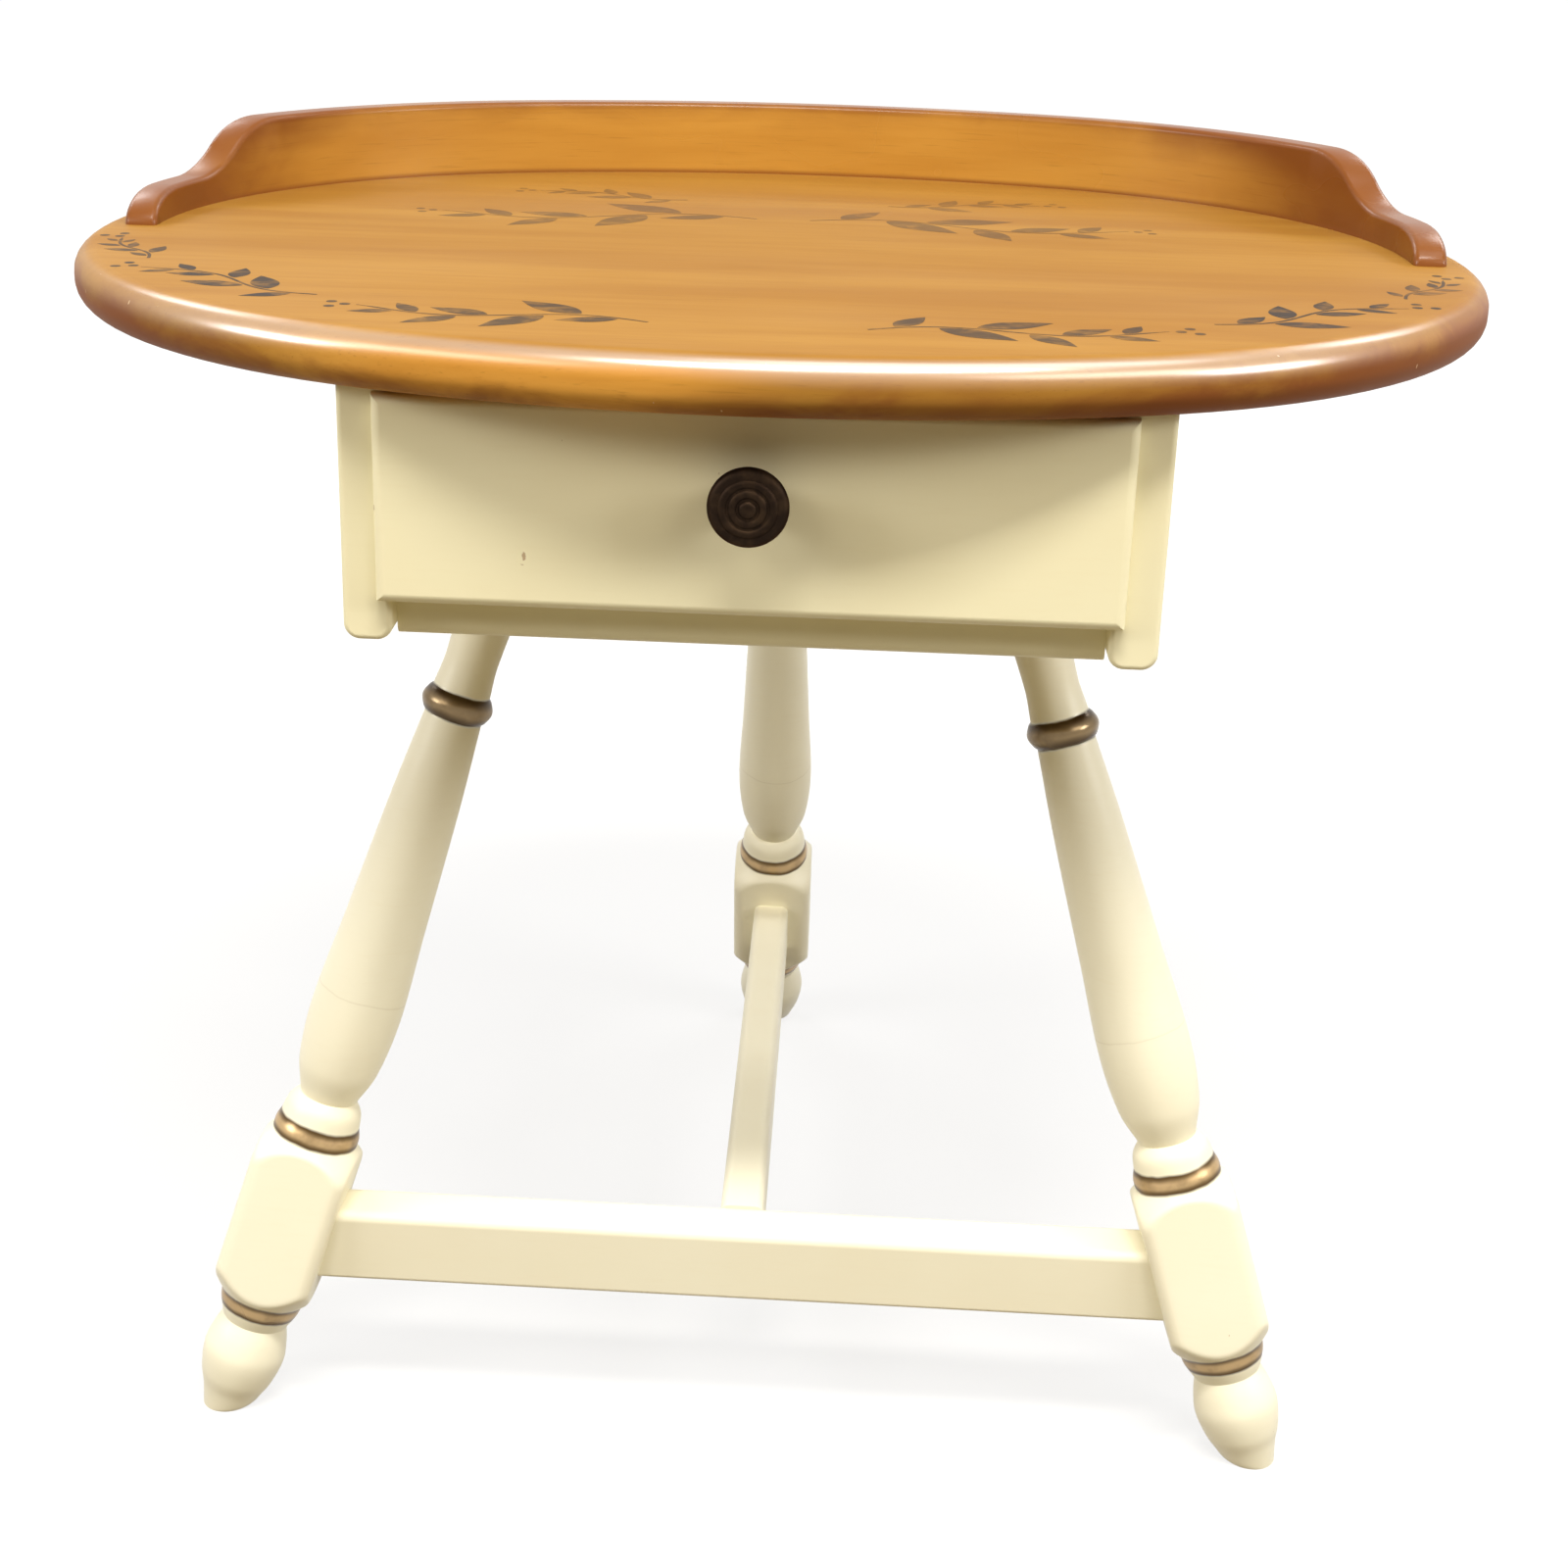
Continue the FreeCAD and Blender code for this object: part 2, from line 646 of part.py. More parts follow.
def turned_profile(sketch):
    """Half section of the leg: foot, ring, block, ring, cup, vase, ring, neck and tenon."""
    sole = size("sole_radius")
    foot = size("foot_radius")
    foot_neck = size("foot_neck_radius")
    ring = size("lower_ring_radius")
    corner = size("block_side") * math.sqrt(0.5)
    band = size("upper_ring_radius")
    cup_neck = size("cup_neck_radius")
    vase = size("vase_radius")
    vase_top = size("vase_top_radius")
    tenon = size("leg_tenon_radius")
    quirk = size("leg_quirk")

    below_floor = -sole * math.tan(math.radians(size("leg_splay"))) - quirk
    swell_at = size("foot_swell_height")
    foot_top = size("foot_height")
    ring_foot = foot_top + size("cove_height")
    block_foot = value(BLOCK_START)
    block_top = value(BLOCK_END)
    band_top = block_top + size("upper_ring_height")
    cup_top = band_top + size("cup_height")
    vase_swell_at = cup_top + size("vase_swell_height")
    vase_end = cup_top + size("vase_height")
    top_ring_end = vase_end + size("top_ring_height")
    neck_at = top_ring_end + size("leg_neck_height")
    end = value(LEG_LENGTH)
    board_at = end - size("socket_depth")
    crown_at = board_at - 2 * tenon * math.tan(math.radians(size("leg_splay")))

    pen = Pen(sketch, 0, below_floor)
    pen.line(sole, below_floor)
    swell = (foot, swell_at)
    pen.curve(foot_neck, foot_top,
              waypoint((sole, 0), swell, (0.37, 0.24)),
              waypoint((sole, 0), swell, (0.7, 0.55)),
              swell,
              waypoint(swell, (foot_neck, foot_top), (0.4, 0.5)))
    pen.line(ring - quirk, ring_foot)
    pen.arc(ring + quirk / 2, block_foot, quirk / 3)
    pen.arc(corner, block_foot + size("lower_shoulder"), -quirk / 3)
    pen.line(corner, block_top - size("upper_shoulder"))
    pen.arc(band, block_top, -quirk)
    pen.arc(band - quirk, band_top, quirk / 2)
    pen.curve(cup_neck, cup_top,
              waypoint((band - 2 * quirk, band_top), (band - 2 * quirk, cup_top), (0, 0.6)),
              (cup_neck + quirk, cup_top - quirk / 2))
    pen.line(cup_neck + quirk / 2, cup_top + quirk)
    swell = (vase, vase_swell_at)
    top = (vase_top, vase_end)
    pen.curve(vase_top, vase_end,
              waypoint((vase_top, cup_top), swell, (0.7, 0.37)),
              swell,
              waypoint(swell, top, (0.27, 0.3)),
              waypoint(swell, top, (0.65, 0.73)))
    ring_middle = (vase_end + top_ring_end) / 2
    pen.curve(vase_top, top_ring_end,
              (vase_top + quirk, vase_end + quirk), (size("top_ring_radius"), ring_middle),
              (vase_top + quirk, top_ring_end - quirk))
    pen.curve(tenon, crown_at, (size("leg_neck_radius"), neck_at))
    pen.line(tenon, end)
    pen.line(0, end)
    pen.line(0, below_floor)


def leg_blank(label, azimuth, block_turn):
    """A turned leg: a revolved form, flats for its square block, and a foot cut level."""
    body = new_body(label)
    profile = new_sketch(body, "XZ_Plane")
    turned_profile(profile)
    spin = feature(body, "Revolution", profile)
    spin.ReferenceAxis = (profile, ["V_Axis"])
    spin.Angle = 360

    flats = new_sketch(body, "XY_Plane", BLOCK_START)
    flats.AttachmentOffset.Rotation = FreeCAD.Rotation(FreeCAD.Vector(0, 0, 1), block_turn)
    circle(flats, "0", "0", "2 * Sizes.block_side")
    rounded_square(flats)
    waste = feature(body, "Pocket", flats, Length="Sizes.block_length")
    waste.Reversed = True

    level = new_sketch(body, "YZ_Plane")
    reach = "2 * Sizes.foot_radius"
    slope = "2 * Sizes.foot_radius * tan(Sizes.leg_splay)"
    polygon(level, [("-" + reach, slope), ("-" + reach, "-" + reach),
                    (reach, "-" + reach), (reach, "-" + slope)])
    sole = feature(body, "Pocket", level, Length="4 * Sizes.foot_radius")
    sole.Midplane = True
    lowest = size("foot_swell_height") / 2
    round_edges(body, "Sizes.sole_round", lambda edge: edge.BoundBox.ZMax < lowest)
    put_on_foot_circle(body, azimuth)
    return body


def rounded_square(sketch):
    """The block's section: a square with eased corners."""
    half = size("block_side") / 2
    ease = size("block_ease")
    slack = ease * (1 - math.sqrt(0.5))
    for quarter in range(4):
        turn = FreeCAD.Rotation(FreeCAD.Vector(0, 0, 1), 90 * quarter)
        side = [turn.multVec(FreeCAD.Vector(half, y, 0)) for y in (ease - half, half - ease)]
        corner = [turn.multVec(FreeCAD.Vector(*spot, 0)) for spot in (
            (half, half - ease), (half - slack, half - slack), (half - ease, half))]
        sketch.addGeometry(Part.LineSegment(*side), False)
        sketch.addGeometry(Part.Arc(*corner), False)


def block_turn(azimuth):
    """Turns a leg's block so that a face looks square along the front stretcher."""
    if azimuth == 90:
        return 0
    away = math.radians(30)
    turn = math.degrees(math.atan(math.tan(away) / math.cos(math.radians(size("leg_splay")))))
    return -turn if azimuth == 210 else turn


def leg_sockets():
    sockets = []
    for label, azimuth in LEG_AZIMUTHS.items():
        socket = doc.addObject("Part::Cylinder", label + "_socket")
        socket.setExpression("Radius", "Sizes.leg_tenon_radius")
        socket.setExpression("Height", "2 * Sizes.socket_depth")
        start = "%s - 2 * Sizes.socket_depth" % LEG_LENGTH
        put_on_foot_circle(socket, azimuth, start)
        sockets.append(socket)
    return group("leg_sockets", sockets)


# ---------------------------------------------------------------- stretchers

def tool_box(label, low, high):
    box = doc.addObject("Part::Box", label)
    for name, bottom, top in zip(("Length", "Width", "Height"), low, high):
        box.setExpression(name, "(%s) - (%s)" % (top, bottom))
    place(box, *low)
    return box


def stretcher(label, bar, tenon, blanks):
    """A bar trimmed to the faces that it meets, with tenons that go on into them."""
    bar.Label = label + "_bar"
    trimmed = doc.addObject("Part::Cut", label + "_trimmed")
    trimmed.Base = bar
    trimmed.Tool = blanks[0] if len(blanks) == 1 else group(label + "_stops", blanks)
    whole = doc.addObject("Part::Fuse", label)
    whole.Base = trimmed
    whole.Tool = tenon
    whole.Label = label
    return whole


def round_bar(bar, axis):
    """Rounds a bar's long edges, the upper ones more than the lower."""
    height = size("stretcher_height")
    round_edges(bar, "Sizes.stretcher_top_round",
                lambda edge: runs_along(edge, axis) and edge.BoundBox.ZMin > height / 2)
    round_edges(bar, "Sizes.stretcher_bottom_round",
                lambda edge: runs_along(edge, axis) and edge.BoundBox.ZMax < 1)


def legs_and_stretchers():
    blanks = {}
    for label, azimuth in LEG_AZIMUTHS.items():
        blanks[label] = leg_blank(label, azimuth, block_turn(azimuth))
    bar_top = "Sizes.stretcher_bottom + Sizes.stretcher_height"
    tenon_low = "%s - Sizes.tenon_height / 2" % STRETCHER_MIDDLE
    tenon_high = "%s + Sizes.tenon_height / 2" % STRETCHER_MIDDLE
    front_face = "%s - Sizes.stretcher_thick / 2" % FRONT_STRETCHER_Y
    rear_face = "%s + Sizes.stretcher_thick / 2" % FRONT_STRETCHER_Y

    front_bar = board("front_stretcher", ("-" + FRONT_STRETCHER_END, front_face,
                                          "Sizes.stretcher_bottom"),
                      (FRONT_STRETCHER_END, rear_face, bar_top))
    round_bar(front_bar, 0)
    front_tenon = tool_box("front_tenon", (
        "-" + FRONT_STRETCHER_END, "%s - Sizes.tenon_thick / 2" % FRONT_STRETCHER_Y, tenon_low), (
        FRONT_STRETCHER_END, "%s + Sizes.tenon_thick / 2" % FRONT_STRETCHER_Y, tenon_high))
    middle_bar = board("middle_stretcher", ("-Sizes.middle_thick / 2", rear_face,
                                            "Sizes.stretcher_bottom"),
                       ("Sizes.middle_thick / 2", MIDDLE_STRETCHER_END, bar_top))
    round_bar(middle_bar, 1)
    middle_tenon = tool_box("middle_tenon", (
        "-Sizes.tenon_thick / 2", "%s - Sizes.stub_tenon" % rear_face, tenon_low), (
        "Sizes.tenon_thick / 2", MIDDLE_STRETCHER_END, tenon_high))

    front_blanks = [blanks["left_front_leg"], blanks["right_front_leg"]]
    front = stretcher("front_stretcher", front_bar, front_tenon, front_blanks)
    middle = stretcher("middle_stretcher", middle_bar, middle_tenon, [blanks["back_leg"]])
    pieces = [middle, cut("front_stretcher", front, middle_tenon)]
    for label, blank in blanks.items():
        tenon = middle_tenon if label == "back_leg" else front_tenon
        pieces.append(cut(label, blank, tenon))
    return pieces


# ---------------------------------------------------------------- drawer

def drawer_side(label, low_x, high_x):
    """A drawer side whose front end is cut into two dovetails."""
    body = new_body(label)
    sketch = new_sketch(body, "YZ_Plane")
    height = "(%s - %s)" % (DRAWER_SIDE_TOP, DRAWER_BASE)
    gap = "((%s - 2 * Sizes.tail_height) / 4)" % height
    corners = [("0", "0")]
    for rank in range(2):
        low = "(%s * %d + Sizes.tail_height * %d)" % (gap, 1 + 2 * rank, rank)
        high = "(%s + Sizes.tail_height)" % low
        corners.append(("0", low + " + Sizes.tail_flare"))
        corners.append(("-Sizes.tail_length", low))
        corners.append(("-Sizes.tail_length", high))
        corners.append(("0", high + " - Sizes.tail_flare"))
    corners.append(("0", height))
    corners.append(("Sizes.drawer_depth", height))
    corners.append(("Sizes.drawer_depth", "0"))
    polygon(sketch, corners)
    feature(body, "Pad", sketch, Length="Sizes.drawer_side_thick")
    place(body, low_x, FRONT_REAR_Y, DRAWER_BASE)
    return body


def drawer_front(sides, floor, screw_hole):
    """The lipped front: its ends lap the side panels, its middle part goes between them."""
    body = new_body("drawer_front")
    lip_half = "(%s + Sizes.lip_overlap)" % INNER_HALF
    depth = "(Sizes.lip_thick + Sizes.board_recess)"
    sketch = new_sketch(body, "XY_Plane")
    polygon(sketch, [
        ("-" + lip_half, "0"), (lip_half, "0"),
        (lip_half, "Sizes.lip_thick"), (DRAWER_HALF, "Sizes.lip_thick"),
        (DRAWER_HALF, depth), ("-" + DRAWER_HALF, depth),
        ("-" + DRAWER_HALF, "Sizes.lip_thick"), ("-" + lip_half, "Sizes.lip_thick")])
    feature(body, "Pad", sketch, Length="Sizes.front_height")
    round_edges(body, "Sizes.front_round", lambda edge: edge.BoundBox.YMax < 0.01)
    place(body, "0", DRAWER_FACE_Y, FRONT_BOTTOM)
    return cut("drawer_front", body, floor, screw_hole, *sides)


def drawer_back():
    """The drawer's back, with a raised middle that stops against the front rail."""
    body = new_body("drawer_back")
    inner = "(%s - Sizes.drawer_side_thick)" % DRAWER_HALF
    base = "(%s + Sizes.drawer_bottom_thick)" % DRAWER_FLOOR
    side_top = "(%s - %s)" % (DRAWER_SIDE_TOP, base)
    stop_top = "(%s + Sizes.stop_rise - %s)" % (RAIL_BOTTOM, base)
    sketch = new_sketch(body, "XZ_Plane")
    polygon(sketch, [
        ("-" + inner, "0"), (inner, "0"), (inner, side_top),
        ("Sizes.stop_width / 2", side_top), ("Sizes.stop_width / 2", stop_top),
        ("-Sizes.stop_width / 2", stop_top), ("-Sizes.stop_width / 2", side_top),
        ("-" + inner, side_top)])
    feature(body, "Pad", sketch, Length="Sizes.drawer_back_thick")
    place(body, "0", DRAWER_REAR_Y, base)
    return body


def knob():
    """A turned knob: a foot, a waist, a wide head and rings that stand on its face."""
    body = new_body("drawer_knob")
    sketch = new_sketch(body, "XY_Plane")
    head = size("knob_radius")
    length = size("knob_length")
    foot = size("knob_foot_radius")
    ring = size("knob_ring_height")
    button = size("knob_button_radius")
    face = length - 2 * ring
    rings = 3
    pen = Pen(sketch, 0, 0, upwards=-1)
    pen.line(foot, 0)
    pen.line(foot, size("knob_foot_height"))
    pen.curve(head, size("knob_rim_height"),
              (size("knob_neck_radius"), size("knob_neck_height")),
              (size("knob_flare_radius"), size("knob_flare_height")))
    ring_width = (head - button) / rings
    for rank in range(rings):
        inner = head - ring_width * (rank + 1)
        level = face + ring * rank / rings
        bulge = ring * (1.4 if rank == 0 else 0.7)
        pen.arc(inner + size("knob_groove"), level, bulge)
        pen.line(inner, level)
    pen.arc(button / 2, length, ring / 3)
    pen.line(0, length)
    pen.line(0, 0)
    spin = feature(body, "Revolution", sketch)
    spin.ReferenceAxis = (sketch, ["V_Axis"])
    spin.Angle = 360
    place(body, "0", DRAWER_FACE_Y, KNOB_LEVEL)
    return body


def knob_screw():
    """The screw from inside the drawer, through its front and into the knob."""
    through = "(Sizes.lip_thick + Sizes.board_recess)"
    length = "%s + Sizes.knob_screw_bite" % through
    shank = cylinder("knob_screw_shank", "Sizes.knob_screw_radius", length,
                     "0", FRONT_REAR_Y, KNOB_LEVEL, axis=(0, -1, 0))
    head = cylinder("knob_screw_head", "2 * Sizes.knob_screw_radius",
                    "Sizes.knob_screw_radius", "0", FRONT_REAR_Y, KNOB_LEVEL,
                    axis=(0, 1, 0))
    whole = doc.addObject("Part::Fuse", "knob_screw")
    whole.Base = shank
    whole.Tool = head
    whole.Label = "knob_screw"
    return whole


def drawer_pieces():
    inner = "(%s - Sizes.drawer_side_thick)" % DRAWER_HALF
    left = drawer_side("drawer_left_side", "-" + DRAWER_HALF, "-" + inner)
    right = drawer_side("drawer_right_side", inner, DRAWER_HALF)
    floor_half = "(%s + Sizes.groove_depth)" % inner
    floor = board("drawer_bottom", ("-" + floor_half, FRONT_REAR_Y + " - Sizes.groove_depth",
                                    DRAWER_FLOOR),
                  (floor_half, DRAWER_REAR_Y, DRAWER_FLOOR + " + Sizes.drawer_bottom_thick"))
    screw_piece = knob_screw()
    front = drawer_front([left, right], floor, screw_piece)
    return [front, cut("drawer_left_side", left, floor), cut("drawer_right_side", right, floor),
            drawer_back(), floor, cut("drawer_knob", knob(), screw_piece), screw_piece]


# ---------------------------------------------------------------- build, check and write

screws = tabletop_screws()
joining_dowels = case_dowels()
top_dowels = gallery_dowels()
pieces = [tabletop(top_dowels, screws), gallery(top_dowels), top_dowels, screws,
          joining_dowels]
pieces += case_pieces(screws, joining_dowels, leg_sockets())
pieces += legs_and_stretchers()
pieces += drawer_pieces()
doc.recompute()

for item in doc.Objects:
    if "Invalid" in item.State or "Error" in item.State:
        raise RuntimeError("%s failed: %s" % (item.Label, item.State))

os.makedirs("parts", exist_ok=True)
for piece in pieces:
    shape = piece.Shape
    if shape.isNull() or not shape.isValid():
        raise RuntimeError("%s has no valid shape" % piece.Label)
    shape.exportStep("parts/%s.step" % piece.Label)
    box = shape.optimalBoundingBox(False, False)
    print("%-20s solids %2d  volume %10.0f  x %7.1f %7.1f  y %7.1f %7.1f  z %7.1f %7.1f" % (
        piece.Label, len(shape.Solids), shape.Volume,
        box.XMin, box.XMax, box.YMin, box.YMax, box.ZMin, box.ZMax))
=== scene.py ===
"""Builds the looks of a small tavern table: oval galleried top, painted case with a drawer, turned legs."""
import math

import bmesh
import bpy
from mathutils import Matrix, Vector


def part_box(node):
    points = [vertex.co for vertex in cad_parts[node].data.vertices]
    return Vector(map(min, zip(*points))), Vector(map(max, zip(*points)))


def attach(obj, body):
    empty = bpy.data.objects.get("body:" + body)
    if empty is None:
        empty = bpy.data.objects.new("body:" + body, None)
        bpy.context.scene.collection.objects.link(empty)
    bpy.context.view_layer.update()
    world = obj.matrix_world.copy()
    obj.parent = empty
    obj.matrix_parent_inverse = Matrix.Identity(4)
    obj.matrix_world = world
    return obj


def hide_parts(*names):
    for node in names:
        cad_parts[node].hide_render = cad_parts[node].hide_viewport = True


bl_info = {
    "name": "Tavern Table",
    "version": (1, 0, 0),
    "blender": (4, 5, 0),
    "location": "View3D > Sidebar > Tavern Table",
    "description": "Small tavern table with an oval galleried top, one drawer and turned splayed legs",
    "category": "Add Mesh",
}

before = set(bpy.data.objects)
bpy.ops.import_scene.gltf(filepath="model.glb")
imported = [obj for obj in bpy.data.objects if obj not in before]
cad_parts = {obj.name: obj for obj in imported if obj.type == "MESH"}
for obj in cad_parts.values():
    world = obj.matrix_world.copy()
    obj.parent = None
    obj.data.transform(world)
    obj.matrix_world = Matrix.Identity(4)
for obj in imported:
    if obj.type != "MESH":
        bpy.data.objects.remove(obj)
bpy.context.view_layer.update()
MM = 0.001
# Distances in metres below which points count as the same: in general, and where the outline's arcs meet.
SAME, ARC_SAME = 1e-6, 3e-4

# Steps of an end arc and of a side arc of the top's outline, and of the rounding of its rims.
END_STEPS, SIDE_STEPS, RIM_STEPS = 44, 22, 10
# Widths of the rings of faces inside the top's rim, in metres, from the edge inwards.
RIM_RINGS = (0.004, 0.006, 0.010, 0.016, 0.03)
# The top's "rim" value: what it is at the outline, the width in metres over which it falls to zero inwards,
# and what is added on the way down to the lower face, which browns the rim toward its underside as painted
# shade.
RIM_VALUE, RIM_WIDTH, RIM_RISE = 0.34, 0.017, 0.95

# The turned section of a leg, foot to tenon: strokes of (radius, height) in millimetres that meet at corners.
TURNING = (
    ((11.35, -5.87), (15.3, 7), (18.8, 16), (21.1, 29), (19.7, 38.5), (16.9, 48)),
    ((16.9, 48), (19.1, 53)),
    ((19.1, 53), (20.71, 57.38), (21.35, 62)),
    ((21.35, 62), (28.76, 71.2), (35.36, 81)),
    ((35.36, 81), (35.36, 136.5)),
    ((35.36, 136.5), (29.8, 146.1), (22, 153.5)),
    ((22, 153.5), (22, 158.3), (20.5, 163)),
    ((20.5, 163), (19, 171.1), (15.8, 175.75), (14.3, 176.5)),
    ((14.3, 176.5), (15.05, 178)),
    ((15.05, 178), (20.45, 194.3), (23, 224.5), (20.7, 272.8), (17.5, 342), (14.5, 385.5)),
    ((14.5, 385.5), (16, 387), (18, 392.25), (16, 397.5), (14.5, 399)),
    ((14.5, 399), (13.3, 416), (16, 467.25)),
    ((16, 467.25), (16, 503.9)),
)
# Length of a step along the turned section, in millimetres, and steps round the leg.
TURNING_STEP, TURNING_SIDES = 1.25, 112
# The square block's lower and upper end along the leg, in millimetres.
BLOCK = (62, 153.5)
# Leg name: direction of its foot from the middle of the three, and the turn of its block, in degrees.
LEGS = {
    "left_front_leg": (210, -31.57),
    "right_front_leg": (330, 31.57),
    "back_leg": (90, 0),
}
# Painted rings of a leg: from, to (millimetres along the leg), and how much painted shade darkens the ring.
RINGS = ((54.4, 64.0, 0.1), (154.2, 164.0, 0.0), (385.3, 399.2, 0.7))
# Softness of a painted ring's edges, and where the scored line fades in and out, in metres along the leg.
RING_BLUR = 0.0009
SCORE_IN, SCORE_OUT = (0.2352, 0.2356), (0.2360, 0.2364)

# Nicks in the paint of the drawer front: x, y, z and radius in metres.
DRAWER_NICKS = ((-0.0932, -0.261, 0.4932, 0.0020), (-0.1554, -0.2585, 0.511, 0.0020))
# How much narrower than high a nick is.
NICK_SQUEEZE = 2.2

# Sprays on the right half of the top, mirrored on the left: x and y of the stem's start, its heading in
# radians, its length and sway, and how strong the paint is.
SPRAYS = (
    (0.045, -0.2360, 0.10, 0.125, 0.06, 0.85),
    (0.19, -0.2000, 0.55, 0.105, -0.06, 0.95),
    (0.285, -0.125, 1.05, 0.06, 0.05, 0.85),
    (0.014, 0.050, -0.06, 0.165, 0.07, 0.6),
    (0.055, 0.110, 0.25, 0.085, -0.06, 0.55),
)
# Leaves of a spray: place along the stem, side of the stem, and share of a large leaf's length.
LEAVES = ((0.1, 1, 0.7), (0.24, -1, 1.0), (0.36, 1, 0.95), (0.53, -1, 0.75), (0.63, 1, 0.7),
          (0.78, -1, 0.55), (0.85, 1, 0.5))
# Length of the spray that carries large leaves, a leaf's lean from the stem, and its width by its length.
FULL_SPRAY, LEAF_LEAN, LEAF_WIDTH = 0.12, 0.65, 0.4
# A leaf's gap from the stem: a fixed part in metres, and a share of the spray's and the leaf's size.
LEAF_GAP, LEAF_GAP_SHARE = 0.001, 0.0125
# Steps round a leaf, and its shape: below 1 it is widest nearer to the stem.
LEAF_SIDES, LEAF_SHAPE = 48, 0.8
# Berries beyond the stem's tip: onward and aside in metres. Then their radius and the steps round them.
BERRIES = ((0.005, 0.0), (0.010, 0.006), (0.012, -0.004))
BERRY_RADIUS, BERRY_SIDES = 0.0024, 12
# Waves of a stem along its length, its steps and its width in metres.
STEM_WAVES, STEM_STEPS, STEM_WIDTH = 1.1, 28, 0.0016

# Lamps by name: azimuth and elevation in degrees, distance, width, height, level and colour.
SIDE_LAMPS = {
    "front_lamp": (45, 34, 2.8, 1.4, 0.8, 0.18, (1.0, 0.94, 0.82)),
    "lamp": (70, 22, 2.8, 1.1, 0.7, 0.44, (1, 1, 1)),
    "back_lamp": (140, 35, 2.8, 1.1, 0.6, 0.22, (1, 1, 1)),
}
MIDDLE_LAMPS = {
    "high_lamp": (9, 66, 2.8, 1.6, 0.4, 1.15, (1.0, 0.97, 0.90)),
    "overhead_lamp": (90, 76, 2.6, 0.8, 1.8, 0.19, (1, 1, 1)),
}
LAMP_TARGET = (0, -0.15, 0.5)
# Strength and tint of the room's light on the object. Straight from the camera the room is plain white.
ROOM_LEVEL, ROOM_TINT = 0.115, (1.0, 0.76, 0.38)
# Half of the floor's width, and the distances from its middle over which its glow grows to white.
FLOOR_REACH, FLOOR_NEAR, FLOOR_FAR = 14, 0.5, 1.7
# The glow in the middle, the grey that takes the object's shadow, and the tint of the light that the floor
# sends up to the object.
FLOOR_GLOW, FLOOR_GREY, FLOOR_TINT = 0.78, 0.2, (0.20, 0.158, 0.085)
CAMERA_PLACE = (0.04017, -1.18317, 0.77395)
CAMERA_LENS, CAMERA_SHIFT = 53.688, (0.03287, -0.06037)
# The camera's turn to the left, its drop below the level and its roll, in radians.
CAMERA_TURN, CAMERA_DROP, CAMERA_ROLL = 0.0493991, 0.3485935, 0.0242442


def colour_property(name, description, value):
    return bpy.props.FloatVectorProperty(
        name=name, description=description, default=value, size=3, subtype="COLOR", min=0, max=1)


def length_property(name, description, value):
    return bpy.props.FloatProperty(
        name=name, description=description, default=value, min=0, unit="LENGTH", subtype="DISTANCE",
        precision=5)


def angle_property(name, description, degrees):
    return bpy.props.FloatProperty(
        name=name, description=description, default=math.radians(degrees), unit="ROTATION", subtype="ANGLE")


class TavernTableSizes(bpy.types.PropertyGroup):
    end_radius: length_property(
        "End radius", "Radius of the top's outline at its two ends", 0.26791)
    end_centre: length_property(
        "End centre", "Distance of an end arc's centre from the middle of the top", 0.073)
    side_radius: length_property(
        "Side radius", "Radius of the top's outline at its front and back", 0.49595)
    side_centre: length_property(
        "Side centre", "Distance of a side arc's centre from the middle of the top", 0.21604)
    end_angle: angle_property("End angle", "Half of the angle that an end arc spans", 71.33)
    top_shift: length_property(
        "Top shift", "How far the middle of the top lies in front of the origin", 0.0196)
    edge_round: length_property("Edge round", "Radius of the rounding on both rims of the top", 0.011)
    foot_circle: length_property(
        "Foot circle", "Radius of the circle that the three feet stand on", 0.3065)
    splay: angle_property("Splay", "Lean of each leg", 20)
    block_half: length_property("Block half", "Half of the width of a leg's square block", 0.025)
    block_ease: length_property("Block ease", "Rounding of the corners of a leg's block", 0.006)
    block_blend: length_property(
        "Block blend", "Softness of the line where the turning meets the block", 0.0016)
    sole_round: length_property("Sole round", "Softness of the edge round the sole of a foot", 0.003)
    leaf_length: length_property("Leaf length", "Length of a large stencilled leaf", 0.036)
    paint_film: length_property("Paint film", "Thickness of the stencilled paint", 0.00006)


